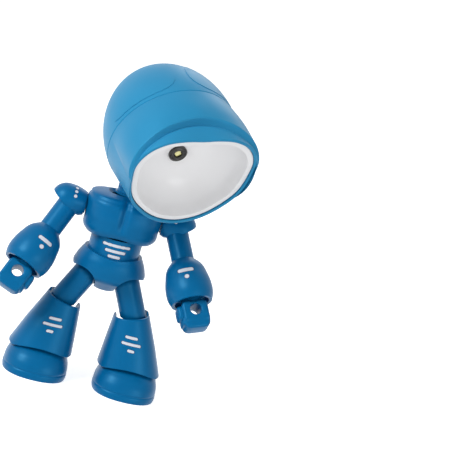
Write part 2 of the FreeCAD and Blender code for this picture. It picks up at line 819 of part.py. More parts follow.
def pelvis_pieces():
    hip = float(S.hip_height)
    shell = pelvis_solid()
    shell = shell.cut(rod(S.waist_radius + 0.35, (0, 0, S.waist_base - 0.3), (0, 0, 90)))
    dip = rod(60, (0, -FAR, 75.2 + 60), (0, 0, 75.2 + 60))
    shell = shell.cut(dip)
    for s in (-1, 1):
        shell = shell.cut(rod(9.6, (s * 15.2, -40, 57.4), (s * 15.2, 40, 57.4)))
        shell = shell.cut(rod(7.5, (s * 5.8, 0, hip), (s * 30, 0, hip)))
    shell = shell.cut(rod(S.pin_radius, (-30, 0, hip), (30, 0, hip)))
    shell = shell.cut(rod(1.9, (0, 0, 63.2), (0, 0, 69)))
    out, up = 4.4, 65.4
    for s in (-1, 1):
        shell = shell.cut(rod(0.95, (s * out, -8, up), (s * out, 12, up)))
        shell = shell.cut(rod(1.9, (s * out, 11.9, up), (s * out, 30, up)))
    feature("pelvis_front", biggest(half(shell, True)), BODY)
    feature("pelvis_back", biggest(half(shell, False)), BODY)
    screws = []
    for s in (-1, 1):
        shank = rod(0.95, (s * out, -7.9, up), (s * out, 12, up))
        screws.append(shank.fuse(rod(1.8, (s * out, 12, up), (s * out, 13.6, up))))
    feature("pelvis_screws", Part.makeCompound(screws), BODY)
    screw = turned(
        "waist_screw",
        [(0, 63.3), (1.9, 63.3), (1.9, 70.5), (4.6, 70.5), (4.6, 71.9), (3.6, 72.7), (0, 72.7)],
    )
    screw.Placement = BODY
    axle = pin("hip_axle", (S.hip_out + 5.4) * 2, S.pin_radius)
    axle.Placement = BODY * move(0, 0, hip) * axle.Placement


# Legs


def guard_solid(inset, s):
    """The shin guard's outer form, flared towards the hem and to the outside."""
    steps = [
        (11.0, 25.7, 18.5, 18.0, -0.8),
        (28.0, 22.8, 14.4, 14.6, -0.4),
        (50.0, 18.6, 8.4, 9.0, 0.0),
    ]
    rings = [ring(w - inset, d - inset, 2.3, z, (s * c, y)) for z, c, w, d, y in steps]
    return lofted(rings, ruled=True)


def foot_solid(inset, s):
    """The shoe: upright sides over a low rim, closed by a dome."""
    wide, long, high = float(S.foot_half_wide), float(S.foot_half_long), float(S.foot_high)
    steps = [
        (0.0, 0.985),
        (0.05, 1.0),
        (0.22, 1.0),
        (0.5, 0.95),
        (0.68, 0.865),
        (0.84, 0.70),
        (0.95, 0.45),
        (1.0, 0.18),
    ]
    rings = []
    for share, out in steps:
        centre = (s * float(S.foot_out), -float(S.foot_front) + 1.9 * share)
        height = share * high - (inset if share > 0.6 else 0)
        thin = inset * min(1, out * 2)
        rings.append(ring(wide * out - thin, long * out - thin, 2.35, height, centre))
    return lofted(rings)


def leg_pieces(side):
    s = SIDES[side]
    hip, knee, ankle = float(S.hip_height), float(S.knee_height), float(S.ankle_height)
    knee_x, ankle_x = s * float(S.knee_out), s * float(S.ankle_out)
    place = hip_place(side)
    tube = Part.makeSphere(float(S.thigh_radius)).fuse(
        rod(S.thigh_radius, (0, 0, 0), (0, 0, -S.thigh_length))
    ).transformed((BODY.inverse() * place).Matrix)
    tube = tube.cut(box((-FAR, -FAR, -FAR), (FAR, FAR, S.thigh_foot)))
    face = float(S.hip_out) - 6.0
    far_ends = sorted((-s * FAR, s * face))
    far_side = box((far_ends[0], -FAR, -FAR), (far_ends[1], FAR, FAR))
    lug_half = 3.0
    lug = rod(4.0, (knee_x - lug_half, 0, knee), (knee_x + lug_half, 0, knee))
    lug = lug.fuse(box((knee_x - lug_half, -4, knee), (knee_x + lug_half, 4, knee + 5.5)))
    thigh = tube.fuse(lug).cut(far_side)
    thigh = thigh.cut(rod(S.pin_radius + S.run_fit, (0, 0, hip), (s * 17.6, 0, hip)))
    thigh = thigh.cut(rod(S.pin_radius + S.run_fit, (knee_x - 9, 0, knee), (knee_x + 9, 0, knee)))
    feature(f"thigh_{side}", thigh, BODY)

    ears = []
    for e in (-1, 1):
        near, far = sorted((knee_x + e * (lug_half + 0.25), knee_x + e * (lug_half + 2.2)))
        ears.append(rod(3.9, (near, 0, knee), (far, 0, knee)))
        ears.append(box((near, -3.9, 29.6), (far, 3.9, knee)))
    low_lug = rod(3.4, (ankle_x - 2.8, 0, ankle), (ankle_x + 2.8, 0, ankle)).fuse(
        box((ankle_x - 2.8, -3.4, ankle), (ankle_x + 2.8, 3.4, 32))
    )
    web = guard_solid(1.6, s).common(box((-FAR, -FAR, 29.5), (FAR, FAR, 32.0)))
    core = web.fuse(ears).fuse(low_lug)
    core = core.cut(rod(S.pin_radius, (knee_x - 9, 0, knee), (knee_x + 9, 0, knee)))
    core = core.cut(rod(S.pin_radius + S.run_fit, (ankle_x - 9, 0, ankle), (ankle_x + 9, 0, ankle)))
    feature(f"shin_core_{side}", core, BODY)

    guard = guard_solid(0, s).cut(guard_solid(1.6, s))
    above = box((-FAR, -FAR, 0), (FAR, FAR, FAR)).transformed(
        (move(s * 19.7, 0, S.guard_top) * turn(Y_AXIS, -s * 12.5)).Matrix
    )
    below = box((-FAR, -FAR, -FAR), (FAR, FAR, float(S.guard_hem)))
    arch = rod(40, (s * 25.4, -60, -23.8), (s * 25.4, 60, -23.8))
    notch = box((s * 19.9 - 8.6, 1.0, 34.5), (s * 19.9 + 8.6, 40, 80))
    guard = guard.cut(above).cut(below).cut(arch).cut(notch)
    feature(f"shin_guard_{side}", biggest(guard), BODY)
    knee_pin = pin(f"knee_pin_{side}", (lug_half + 2.1) * 2, S.pin_radius)
    knee_pin.Placement = BODY * move(knee_x, 0, knee) * knee_pin.Placement

    sole = float(S.sole_thick)
    hollow = foot_solid(WALL, s)
    ears = []
    for e in (-1, 1):
        near, far = sorted((ankle_x + e * 3.1, ankle_x + e * 5.6))
        ears.append(box((near, -4, 5), (far, 4, 30)).common(foot_solid(0.5, s)))
    slot = box((ankle_x - 3.1, -5.4, ankle - 4.4), (ankle_x + 3.1, 5.4, 30))
    shoe = foot_solid(0, s).cut(hollow).fuse(ears).cut(slot)
    shoe = shoe.cut(rod(S.pin_radius, (ankle_x - 9, 0, ankle), (ankle_x + 9, 0, ankle)))
    shoe = shoe.cut(box((-FAR, -FAR, -FAR), (FAR, FAR, 0.0)))
    feature(f"foot_shell_{side}", shoe, BODY)
    plate = hollow.common(box((-FAR, -FAR, -1), (FAR, FAR, sole)))
    feature(f"sole_plate_{side}", plate, BODY)
    weight = foot_solid(WALL + 1.2, s).common(box((-FAR, -FAR, sole), (FAR, FAR, 4.9)))
    feature(f"foot_weight_{side}", weight, BODY)
    ankle_pin = pin(f"ankle_pin_{side}", 11.0, S.pin_radius)
    ankle_pin.Placement = BODY * move(ankle_x, 0, ankle) * ankle_pin.Placement


head_shells()
lamp_pieces()
head_inside()
neck_pieces()
torso_pieces()
pelvis_pieces()
for side_name in SIDES:
    arm_pieces(side_name)
    leg_pieces(side_name)
DOC.recompute()

SCAFFOLD = ("cap_form_", "cap_hollow_", "_palm")
PIECES = [
    o
    for o in DOC.Objects
    if o.TypeId in ("PartDesign::Body", "Part::Feature") and not any(w in o.Label for w in SCAFFOLD)
]
for thing in DOC.Objects:
    if "Invalid" in thing.State or "Error" in thing.State:
        raise RuntimeError(f"{thing.Label} did not build: {thing.State}")
for piece in PIECES:
    if piece.Shape.isNull() or not piece.Shape.isValid() or not piece.Shape.Solids:
        raise RuntimeError(f"{piece.Label} has no valid shape")
os.makedirs("parts", exist_ok=True)
for piece in PIECES:
    piece.Shape.exportStep(f"parts/{piece.Label}.step")
    solids = len(piece.Shape.Solids)
    print(f"{piece.Label}: {solids} solid(s), {piece.Shape.Volume / 1000:.2f} cm3")
whole = Part.makeCompound([p.Shape for p in PIECES]).BoundBox
print(f"{len(PIECES)} pieces, {whole}")
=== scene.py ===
"""The looks of a robot shaped desk lamp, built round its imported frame.

Lengths in the classes are millimetres, in the sub-assembly's own frame; every mesh is put into
the object's frame, in metres, when it is made.
"""

from __future__ import annotations

import json
import logging
import math
from dataclasses import dataclass
from enum import Enum
from typing import Callable, Sequence

import bmesh
import bpy
import numpy as np
from mathutils import Matrix, Vector

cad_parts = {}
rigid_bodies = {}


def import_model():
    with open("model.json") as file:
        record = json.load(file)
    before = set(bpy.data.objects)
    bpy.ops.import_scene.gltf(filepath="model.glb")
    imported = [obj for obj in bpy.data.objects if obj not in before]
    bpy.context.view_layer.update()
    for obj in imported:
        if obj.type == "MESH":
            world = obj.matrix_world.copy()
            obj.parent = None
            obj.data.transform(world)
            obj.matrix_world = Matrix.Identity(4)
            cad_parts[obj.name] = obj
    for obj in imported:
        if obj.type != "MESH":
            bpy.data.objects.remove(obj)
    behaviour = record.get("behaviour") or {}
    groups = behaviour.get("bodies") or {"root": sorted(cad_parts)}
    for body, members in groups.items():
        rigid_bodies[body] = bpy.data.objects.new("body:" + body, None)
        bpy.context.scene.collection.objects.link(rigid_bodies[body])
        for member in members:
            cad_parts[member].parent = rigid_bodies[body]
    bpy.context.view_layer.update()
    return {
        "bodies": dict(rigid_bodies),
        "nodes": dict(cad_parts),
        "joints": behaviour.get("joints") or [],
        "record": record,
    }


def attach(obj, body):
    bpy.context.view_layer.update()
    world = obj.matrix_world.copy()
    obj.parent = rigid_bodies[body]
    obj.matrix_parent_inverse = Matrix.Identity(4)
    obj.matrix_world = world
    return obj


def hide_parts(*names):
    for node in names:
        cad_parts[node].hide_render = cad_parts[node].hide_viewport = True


LOG = logging.getLogger("robot_lamp")
MM = 0.001
TURN = 2 * math.pi
SIDES = {"left": -1, "right": 1}
HALF_HEIGHT = 95.0  # millimetres: the camera and the lamps turn to this height
SWING = {"left": 30.0, "right": 40.0}  # degrees: how far forward each arm hangs
SHARP = 38.0  # degrees: a steeper edge is drawn sharp
MERGE = 2e-6  # metres: nearer points are one
SLIVER = 1e-7  # metres: a shorter edge is taken out
SMALL_STEP = 1e-3  # the step in a surface's parameters that gives its slopes
Colour = tuple[float, float, float]
Surface = Callable[[np.ndarray, np.ndarray], np.ndarray]


class Wrap(Enum):
    """Which ways a grid of points closes on itself."""

    AROUND = (True, False)
    BOTH = (True, True)
    PROFILE = (False, True)


class Axis(Enum):
    """The axis that a surface is turned about, as the order in which (r cos a, r sin a, along)
    become x, y and z."""

    X = (2, 0, 1)
    Y = (1, 2, 0)
    Z = (0, 1, 2)


# Numbers and curves


def ramp(x: np.ndarray, low: float, high: float) -> np.ndarray:
    """A smooth step: 0 below low, 1 above high, 3t^2 - 2t^3 between them."""
    t = np.clip((x - low) / (high - low), 0.0, 1.0)
    return t * t * (3 - 2 * t)


def through(knots: Sequence[float], values: Sequence[float], at: np.ndarray) -> np.ndarray:
    """A smooth curve through given values: cubic pieces whose slopes are those of parabolas
    through each three neighbouring knots.

    Args:
        knots: where the values are given, rising.
        values: the curve's value at each knot.
        at: where the curve is wanted; outside the knots it keeps its end values.

    Returns:
        The curve's values.
    """
    k, v = np.asarray(knots, float), np.asarray(values, float)
    at = np.clip(at, k[0], k[-1])
    gap = np.diff(k)
    rise = np.diff(v) / gap
    slope = np.empty_like(v)
    slope[0], slope[-1] = rise[0], rise[-1]
    slope[1:-1] = (gap[1:] * rise[:-1] + gap[:-1] * rise[1:]) / (gap[:-1] + gap[1:])
    n = np.clip(np.searchsorted(k, at) - 1, 0, len(k) - 2)
    t = (at - k[n]) / gap[n]
    low, high = v[n], v[n + 1]
    start, end = slope[n] * gap[n], slope[n + 1] * gap[n]
    return (
        low
        + t * start
        + t**2 * (3 * (high - low) - 2 * start - end)
        + t**3 * (2 * (low - high) + start + end)
    )


def around(knots: Sequence[float], values: Sequence[float], at: np.ndarray) -> np.ndarray:
    """The same smooth curve on a closed loop of angles: the last three knots are repeated a
    turn earlier and the first three a turn later.

    Args:
        knots: angles from minus half a turn to half a turn, in any order.
        values: the curve's value at each knot.
        at: any angles.

    Returns:
        The curve's values.
    """
    order = np.argsort(knots)
    k, v = np.asarray(knots, float)[order], np.asarray(values, float)[order]
    k = np.concatenate([k[-3:] - TURN, k, k[:3] + TURN])
    v = np.concatenate([v[-3:], v, v[:3]])
    return through(k, v, (np.asarray(at) + math.pi) % TURN - math.pi)


def squared_circle(
    angle: np.ndarray, wide: np.ndarray, deep: np.ndarray, squareness: float
) -> tuple[np.ndarray, np.ndarray]:
    """A circle drawn out to two half sizes and squared off: the radius r at an angle solves
    |r cos / wide|^n + |r sin / deep|^n = 1.

    Args:
        angle: the angle from the X axis.
        wide: the half size along X.
        deep: the half size along Y.
        squareness: n, which is 2 for a circle and more for a squarer outline.

    Returns:
        The outline's x and y.
    """
    c, s = np.cos(angle), np.sin(angle)
    reach = (np.abs(c / wide) ** squareness + np.abs(s / deep) ** squareness) ** (-1 / squareness)
    return reach * c, reach * s


def turned(axis: Axis, angle: np.ndarray, radius: np.ndarray, along: np.ndarray) -> np.ndarray:
    """A surface turned about an axis: r cos a and r sin a across it, and a place along it.

    Args:
        axis: the axis.
        angle: the angle a; about Y it starts at the crown, +Z.
        radius: the radius r.
        along: the place along the axis.

    Returns:
        The points, as an array whose last dimension is x, y and z.
    """
    first, second = radius * np.cos(angle), radius * np.sin(angle)
    parts = (first, second, np.broadcast_to(along, first.shape))
    return np.stack([parts[n] for n in axis.value], -1)


def signed_root(value: np.ndarray) -> np.ndarray:
    """The square root with the value's own sign, which squares a circle off."""
    return np.sign(value) * np.abs(value) ** 0.5


def rounded_profile(corners: Sequence[tuple[float, float, float]], steps: int) -> np.ndarray:
    """A closed outline with rounded corners: each arc is a quadratic curve from one side to the
    next, (1 - t)^2 first + 2 t (1 - t) corner + t^2 last.

    Args:
        corners: each corner's x, y and radius.
        steps: the number of points on each arc.

    Returns:
        An array of (x, y).
    """
    longest = 0.49  # of a side, so that two arcs on it don't meet
    out = []
    for n, (x, y, radius) in enumerate(corners):
        here = np.array([x, y])
        before = np.array(corners[n - 1][:2]) - here
        after = np.array(corners[(n + 1) % len(corners)][:2]) - here
        long_before, long_after = np.linalg.norm(before), np.linalg.norm(after)
        first = here + before / long_before * min(radius, long_before * longest)
        last = here + after / long_after * min(radius, long_after * longest)
        t = np.linspace(0, 1, steps)[:, None]
        out.append((1 - t) ** 2 * first + 2 * t * (1 - t) * here + t**2 * last)
    return np.concatenate(out)


def resampled(outline: np.ndarray, count: int) -> np.ndarray:
    """The same closed outline with its points at equal steps along it.

    Args:
        outline: an array of (x, y).
        count: the number of points wanted.

    Returns:
        An array of (x, y).
    """
    closed = np.concatenate([outline, outline[:1]])
    run = np.concatenate([[0.0], np.cumsum(np.linalg.norm(np.diff(closed, axis=0), axis=1))])
    at = np.linspace(0.0, run[-1], count, endpoint=False)
    return np.stack([np.interp(at, run, closed[:, n]) for n in range(2)], -1)


def whole_turn(count: int) -> np.ndarray:
    """A column of equally spaced angles from minus half a turn to half a turn."""
    return np.linspace(-math.pi, math.pi, count, endpoint=False)[:, None]


# Placing


def shift(x: float, y: float, z: float) -> np.ndarray:
    """A move, as a 4 by 4 matrix."""
    return np.array(Matrix.Translation((x, y, z)))


def spin(degrees: float, axis: str) -> np.ndarray:
    """A turn about a main axis, as a 4 by 4 matrix."""
    return np.array(Matrix.Rotation(math.radians(degrees), 4, axis))


def placed(points: np.ndarray, place: np.ndarray) -> np.ndarray:
    """Points in millimetres in their own frame, moved to the object's frame in metres."""
    return (points @ place[:3, :3].T + place[:3, 3]) * MM


# Meshes


def grid_faces(rows: int, columns: int, wrap: Wrap) -> np.ndarray:
    """The four-cornered faces of a grid of points.

    Args:
        rows: the number of rows.
        columns: the number of columns.
        wrap: which ways the grid closes.

    Returns:
        An array of corner numbers, four to a face.
    """
    wrap_rows, wrap_columns = wrap.value
    r = np.arange(rows if wrap_rows else rows - 1)[:, None]
    c = np.arange(columns if wrap_columns else columns - 1)[None]
    r2, c2 = (r + 1) % rows, (c + 1) % columns
    corners = [r * columns + c, r2 * columns + c, r2 * columns + c2, r * columns + c2]
    return np.stack(np.broadcast_arrays(*corners), -1).reshape(-1, 4)


def shaded(mesh: bpy.types.Mesh) -> None:
    """Shade a mesh smooth between its sharp edges."""
    mesh.shade_smooth()
    mesh.set_sharp_from_angle(angle=math.radians(SHARP))


def tidied(mesh: bpy.types.Mesh) -> None:
    """Close the poles and seams, turn the faces outwards and shade the surface smooth.

    Args:
        mesh: the mesh, which is changed.
    """
    work = bmesh.new()
    work.from_mesh(mesh)
    bmesh.ops.remove_doubles(work, verts=work.verts, dist=MERGE)
    bmesh.ops.dissolve_degenerate(work, edges=work.edges, dist=SLIVER)
    bmesh.ops.recalc_face_normals(work, faces=work.faces)
    work.to_mesh(mesh)
    work.free()
    shaded(mesh)
    mesh.update()


def new_object(name: str, mesh: bpy.types.Mesh) -> bpy.types.Object:
    """An object at the origin, in the scene.

    Args:
        name: the object's name.
        mesh: its mesh.

    Returns:
        The object.
    """
    piece = bpy.data.objects.new(name, mesh)
    bpy.context.scene.collection.objects.link(piece)
    return piece


def grid_object(
    name: str,
    points: np.ndarray,
    place: np.ndarray,
    wrap: Wrap = Wrap.AROUND,
    capped: bool = False,
) -> bpy.types.Object:
    """One object from a grid of points.

    Args:
        name: the piece's name.
        points: rows by columns by 3, in millimetres, in the piece's own frame.
        place: that frame, as a matrix.
        wrap: which ways the grid closes.
        capped: whether the first and the last row are closed with a face each.

    Returns:
        The object, at the origin.
    """
    rows, columns = points.shape[:2]
    faces = grid_faces(rows, columns, wrap).tolist()
    if capped:
        faces.append(list(range(columns)))
        faces.append([(rows - 1) * columns + n for n in reversed(range(columns))])
    mesh = bpy.data.meshes.new(name)
    mesh.from_pydata(placed(points.reshape(-1, 3), place).tolist(), [], faces)
    tidied(mesh)
    return new_object(name, mesh)


def joined(name: str, parts: Sequence[bpy.types.Object]) -> bpy.types.Object:
    """Several objects as one, with one mesh.

    Args:
        name: the new object's name.
        parts: the objects, which are removed.

    Returns:
        The new object.
    """
    work = bmesh.new()
    for part in parts:
        work.from_mesh(part.data)
    mesh = bpy.data.meshes.new(name)
    work.to_mesh(mesh)
    work.free()
    shaded(mesh)
    for part in parts:
        bpy.data.objects.remove(part)
    return new_object(name, mesh)


def cutter(work: bmesh.types.BMesh, place: np.ndarray) -> bpy.types.Object:
    """A cutter from a solid in millimetres: moved to its place and scaled to metres.

    Args:
        work: the solid, which is freed.
        place: the solid's place, as a matrix.

    Returns:
        The cutter, not yet in the scene.
    """
    bmesh.ops.transform(work, matrix=Matrix(place), verts=work.verts)
    bmesh.ops.scale(work, vec=(MM, MM, MM), verts=work.verts)
    mesh = bpy.data.meshes.new("cutter")
    work.to_mesh(mesh)
    work.free()
    return bpy.data.objects.new("cutter", mesh)


def box_cutter(low: Sequence[float], high: Sequence[float], place: np.ndarray) -> bpy.types.Object:
    """A box for cutting.

    Args:
        low: its lowest corner in its own frame, in millimetres.
        high: its highest corner.
        place: that frame, as a matrix.

    Returns:
        The cutter.
    """
    middle = [(a + b) / 2 for a, b in zip(low, high)]
    size = [b - a for a, b in zip(low, high)]
    work = bmesh.new()
    bmesh.ops.create_cube(work, size=1.0)
    return cutter(work, place @ (shift(*middle) @ np.diag([*size, 1.0])))


def rod_cutter(radius: float, length: float, place: np.ndarray, sides: int) -> bpy.types.Object:
    """A cylinder for cutting, along its own Z and centred on its place.

    Args:
        radius: its radius.
        length: its length.
        place: its place, as a matrix.
        sides: the number of its sides.

    Returns:
        The cutter.
    """
    work = bmesh.new()
    bmesh.ops.create_cone(
        work, cap_ends=True, segments=sides, radius1=radius, radius2=radius, depth=length
    )
    return cutter(work, place)


def cut(piece: bpy.types.Object, cutters: Sequence[bpy.types.Object]) -> None:
    """Take the cutters out of a piece, and keep the result as its mesh.

    Args:
        piece: the piece.
        cutters: the solids to take away, which are removed.
    """
    for solid in cutters:
        bpy.context.scene.collection.objects.link(solid)
        step = piece.modifiers.new("cut", "BOOLEAN")
        step.operation = "DIFFERENCE"
        step.solver = "EXACT"
        step.object = solid
    bpy.context.view_layer.update()
    shaped = bpy.data.meshes.new_from_object(
        piece.evaluated_get(bpy.context.evaluated_depsgraph_get())
    )
    piece.modifiers.clear()
    piece.data = shaped
    shaped.materials.clear()
    shaded(shaped)
    for solid in cutters:
        bpy.data.objects.remove(solid)


def surface_normals(surface: Surface, u: np.ndarray, v: np.ndarray) -> np.ndarray:
    """Unit normals of a surface: the cross product of its two small steps.

    Args:
        surface: a function of two parameters.
        u: the first parameter.
        v: the second parameter.

    Returns:
        A normal for each point.
    """
    along = surface(u + SMALL_STEP, v) - surface(u - SMALL_STEP, v)
    up = surface(u, v + SMALL_STEP) - surface(u, v - SMALL_STEP)
    across = np.cross(along, up)
    return across / np.linalg.norm(across, axis=-1, keepdims=True)


def patch_grid(
    surface: Surface,
    centre: tuple[float, float],
    outline: np.ndarray,
    lift: float,
    outward: float,
    rings: int = 14,
    edge: float = 0.12,
) -> np.ndarray:
    """A thin patch that lies on a surface: an outline in millimetres about a centre, filled with
    shrunken copies of itself, each point raised along the surface's normal; the rim drops
    into the surface and the underside closes it.

    Args:
        surface: a function of two parameters.
        centre: the two parameters of the patch's middle.
        outline: the closed outline, an array of (along u, along v) in millimetres.
        lift: the patch's height over the surface.
        outward: 1 or -1, the side of the surface that the patch lies on.
        rings: how many copies fill the outline.
        edge: the width of the rounded edge, as a share of the outline.

    Returns:
        A grid of points whose rows run round the outline.
    """
    sunk = 0.25  # millimetres: how deep the underside lies
    step = SMALL_STEP
    u0, v0 = (np.array([c]) for c in centre)
    u_scale = np.linalg.norm(surface(u0 + step, v0) - surface(u0 - step, v0)) / (2 * step)
    v_scale = np.linalg.norm(surface(u0, v0 + step) - surface(u0, v0 - step)) / (2 * step)
    share = np.linspace(0.0, 1.0, rings)
    top = lift * np.sqrt(1 - np.clip((share - (1 - edge)) / edge, 0, 1) ** 2)
    shares = np.concatenate([share, share[::-1]])
    lifts = np.concatenate([top, np.full(rings, -sunk)])
    u = centre[0] + outline[:, None, 0] * shares / u_scale
    v = centre[1] + outline[:, None, 1] * shares / v_scale
    return surface(u, v) + surface_normals(surface, u, v) * (lifts * outward)[None, :, None]


def bar_outline(half_long: float, half_wide: float) -> np.ndarray:
    """A rounded bar's outline: two half circles, drawn apart by straight sides that the points
    pass where the cosine is under a quarter.

    Args:
        half_long: half the bar's length.
        half_wide: half its width, and the radius of its ends.

    Returns:
        An array of (x, y).
    """
    angle = np.linspace(0, TURN, 48, endpoint=False)
    straight = half_long - half_wide
    x = half_wide * np.cos(angle) + straight * np.clip(np.cos(angle) * 4, -1, 1)
    return np.stack([x, half_wide * np.sin(angle)], -1)


# Finishes


def noise(
    nodes: bpy.types.Nodes,
    links: bpy.types.NodeLinks,
    at: bpy.types.NodeSocket,
    scale: float,
    detail: float,
) -> bpy.types.NodeSocket:
    """Smooth noise of a given scale, from 0 to 1.

    Args:
        nodes: the tree's nodes.
        links: the tree's links.
        at: the socket that gives the place.
        scale: the noise's scale.
        detail: its detail.

    Returns:
        The noise's socket.
    """
    node = nodes.new("ShaderNodeTexNoise")
    node.inputs["Scale"].default_value = scale
    node.inputs["Detail"].default_value = detail
    links.new(at, node.inputs["Vector"])
    return node.outputs["Fac"]


def math_node(
    nodes: bpy.types.Nodes,
    links: bpy.types.NodeLinks,
    operation: str,
    *values: bpy.types.NodeSocket | float,
) -> bpy.types.NodeSocket:
    """One step of arithmetic on sockets and plain numbers.

    Args:
        nodes: the tree's nodes.
        links: the tree's links.
        operation: the step's name in the Math node.
        values: what it works on.

    Returns:
        The result's socket.
    """
    node = nodes.new("ShaderNodeMath")
    node.operation = operation
    for n, value in enumerate(values):
        if isinstance(value, (int, float)):
            node.inputs[n].default_value = value
        else:
            links.new(value, node.inputs[n])
    return node.outputs[0]


def straight_sight(nodes: bpy.types.Nodes, links: bpy.types.NodeLinks) -> bpy.types.NodeSocket:
    """1 where the camera, a reflection or glass sees a surface, and 0 where it only gives light:
    the greatest of Light Path's three answers.

    Args:
        nodes: the tree's nodes.
        links: the tree's links.

    Returns:
        The answer's socket.
    """
    path = nodes.new("ShaderNodeLightPath").outputs
    seen = math_node(nodes, links, "MAXIMUM", path["Is Camera Ray"], path["Is Glossy Ray"])
    return math_node(nodes, links, "MAXIMUM", seen, path["Is Transmission Ray"])


class SkinGroup:
    """The skin of a moulded plastic: soft mottling of the colour, a little unevenness of the
    gloss, and a very fine grain."""

    NAME = "moulded_skin"
    INPUTS = (
        ("Colour", "NodeSocketColor", (0.5, 0.5, 0.5, 1)),
        ("Deep Colour", "NodeSocketColor", (0.4, 0.4, 0.4, 1)),
        ("Mottle", "NodeSocketFloat", 0.5),
        ("Roughness", "NodeSocketFloat", 0.4),
        ("Smudge", "NodeSocketFloat", 0.1),
        ("Grain Size", "NodeSocketFloat", 2500.0),
        ("Grain Depth", "NodeSocketFloat", 0.05),
    )
    OUTPUTS = (
        ("Colour", "NodeSocketColor"),
        ("Roughness", "NodeSocketFloat"),
        ("Normal", "NodeSocketVector"),
    )
    MOTTLE_SCALE, MOTTLE_DETAIL = 42.0, 3.0
    SMUDGE_SCALE, SMUDGE_DETAIL = 120.0, 4.0
    GRAIN_DETAIL = 2.0
    GRAIN_METRES = 0.00008

    def build(self) -> bpy.types.NodeTree:
        """Build the group once.

        Returns:
            The shader node group.
        """
        tree = bpy.data.node_groups.new(self.NAME, "ShaderNodeTree")
        for label, kind, default in self.INPUTS:
            socket = tree.interface.new_socket(label, in_out="INPUT", socket_type=kind)
            socket.default_value = default
        for label, kind in self.OUTPUTS:
            tree.interface.new_socket(label, in_out="OUTPUT", socket_type=kind)
        nodes, links = tree.nodes, tree.links
        given, out = nodes.new("NodeGroupInput"), nodes.new("NodeGroupOutput")
        at = nodes.new("ShaderNodeTexCoord").outputs["Object"]
        broad = noise(nodes, links, at, self.MOTTLE_SCALE, self.MOTTLE_DETAIL)
        share = math_node(nodes, links, "MULTIPLY", broad, given.outputs["Mottle"])
        mix = nodes.new("ShaderNodeMix")
        mix.data_type = "RGBA"
        links.new(share, mix.inputs["Factor"])
        links.new(given.outputs["Colour"], mix.inputs["A"])
        links.new(given.outputs["Deep Colour"], mix.inputs["B"])
        links.new(mix.outputs["Result"], out.inputs["Colour"])
        spots = noise(nodes, links, at, self.SMUDGE_SCALE, self.SMUDGE_DETAIL)
        smear = math_node(nodes, links, "SUBTRACT", spots, 0.5)
        smear = math_node(nodes, links, "MULTIPLY", smear, given.outputs["Smudge"])
        rough = math_node(nodes, links, "ADD", given.outputs["Roughness"], smear)
        links.new(rough, out.inputs["Roughness"])
        fine = nodes.new("ShaderNodeTexNoise")
        fine.inputs["Detail"].default_value = self.GRAIN_DETAIL
        links.new(at, fine.inputs["Vector"])
        links.new(given.outputs["Grain Size"], fine.inputs["Scale"])
        bump = nodes.new("ShaderNodeBump")
        bump.inputs["Distance"].default_value = self.GRAIN_METRES
        links.new(fine.outputs["Fac"], bump.inputs["Height"])
        links.new(given.outputs["Grain Depth"], bump.inputs["Strength"])
        links.new(bump.outputs["Normal"], out.inputs["Normal"])
        return tree


@dataclass(frozen=True)
class Finish:
    """A finish that a piece takes: its colours, gloss, metalness and grain."""

    name: str
    slot: str
    colour: Colour
    deep: Colour
    roughness: float = 0.4
    mottle: float = 0.5
    smudge: float = 0.1
    grain: float = 2500.0
    grain_depth: float = 0.05
    metal: float = 0.0
    coat: float = 0.0
    specular: float = 0.5
    glow: float = 0.0
    tint: Colour = (1.0, 1.0, 1.0)
    coat_roughness: float = 0.12

    def build(self, skin: bpy.types.NodeTree) -> bpy.types.Material:
        """Make the material.

        Args:
            skin: the shared group that gives colour, roughness and grain.

        Returns:
            The material, ready to be given to a piece.
        """
        material = bpy.data.materials.new(self.name)
        material.use_nodes = True
        nodes, links = material.node_tree.nodes, material.node_tree.links
        shader = nodes["Principled BSDF"]
        group = nodes.new("ShaderNodeGroup")
        group.node_tree = skin
        for label, value in (
            ("Colour", (*self.colour, 1)),
            ("Deep Colour", (*self.deep, 1)),
            ("Mottle", self.mottle),
            ("Roughness", self.roughness),
            ("Smudge", self.smudge),
            ("Grain Size", self.grain),
            ("Grain Depth", self.grain_depth),
        ):
            group.inputs[label].default_value = value
        links.new(group.outputs["Colour"], shader.inputs["Base Color"])
        links.new(group.outputs["Roughness"], shader.inputs["Roughness"])
        links.new(group.outputs["Normal"], shader.inputs["Normal"])
        shader.inputs["Metallic"].default_value = self.metal
        shader.inputs["Coat Weight"].default_value = self.coat
        shader.inputs["Coat Roughness"].default_value = self.coat_roughness
        shader.inputs["Specular IOR Level"].default_value = self.specular
        shader.inputs["Specular Tint"].default_value = (*self.tint, 1)
        if self.glow:
            links.new(group.outputs["Colour"], shader.inputs["Emission Color"])
            shader.inputs["Emission Strength"].default_value = self.glow
        return material


BLUE_SHEEN = (0.20, 0.68, 1.0)
HEAD_BLUE = Finish(
    "head_blue_satin", "head_blue", (0.026, 0.248, 0.462), (0.016, 0.214, 0.418),
    roughness=0.42, mottle=0.6, specular=0.4, tint=BLUE_SHEEN,
)
BODY_BLUE = Finish(
    "body_blue_satin", "body_blue", (0.0, 0.120, 0.300), (0.0, 0.098, 0.258),
    roughness=0.36, mottle=0.6, specular=0.4, tint=BLUE_SHEEN,
)
WHITE = Finish(
    "reflector_white_gloss", "reflector_white", (0.88, 0.88, 0.89), (0.84, 0.84, 0.85),
    roughness=0.30, smudge=0.06, grain=1800.0, grain_depth=0.02,
)
PRINT_WHITE = Finish(
    "print_white_ink", "reflector_white", (0.68, 0.70, 0.76), (0.58, 0.60, 0.66),
    roughness=0.48, mottle=0.7, smudge=0.15, grain=5200.0, grain_depth=0.08,
)
PRINT_EDGE = Finish(
    "print_dark_ink", "black_plastic", (0.006, 0.040, 0.110), (0.004, 0.030, 0.090),
    roughness=0.45, mottle=0.6, grain=5200.0, grain_depth=0.06,
)
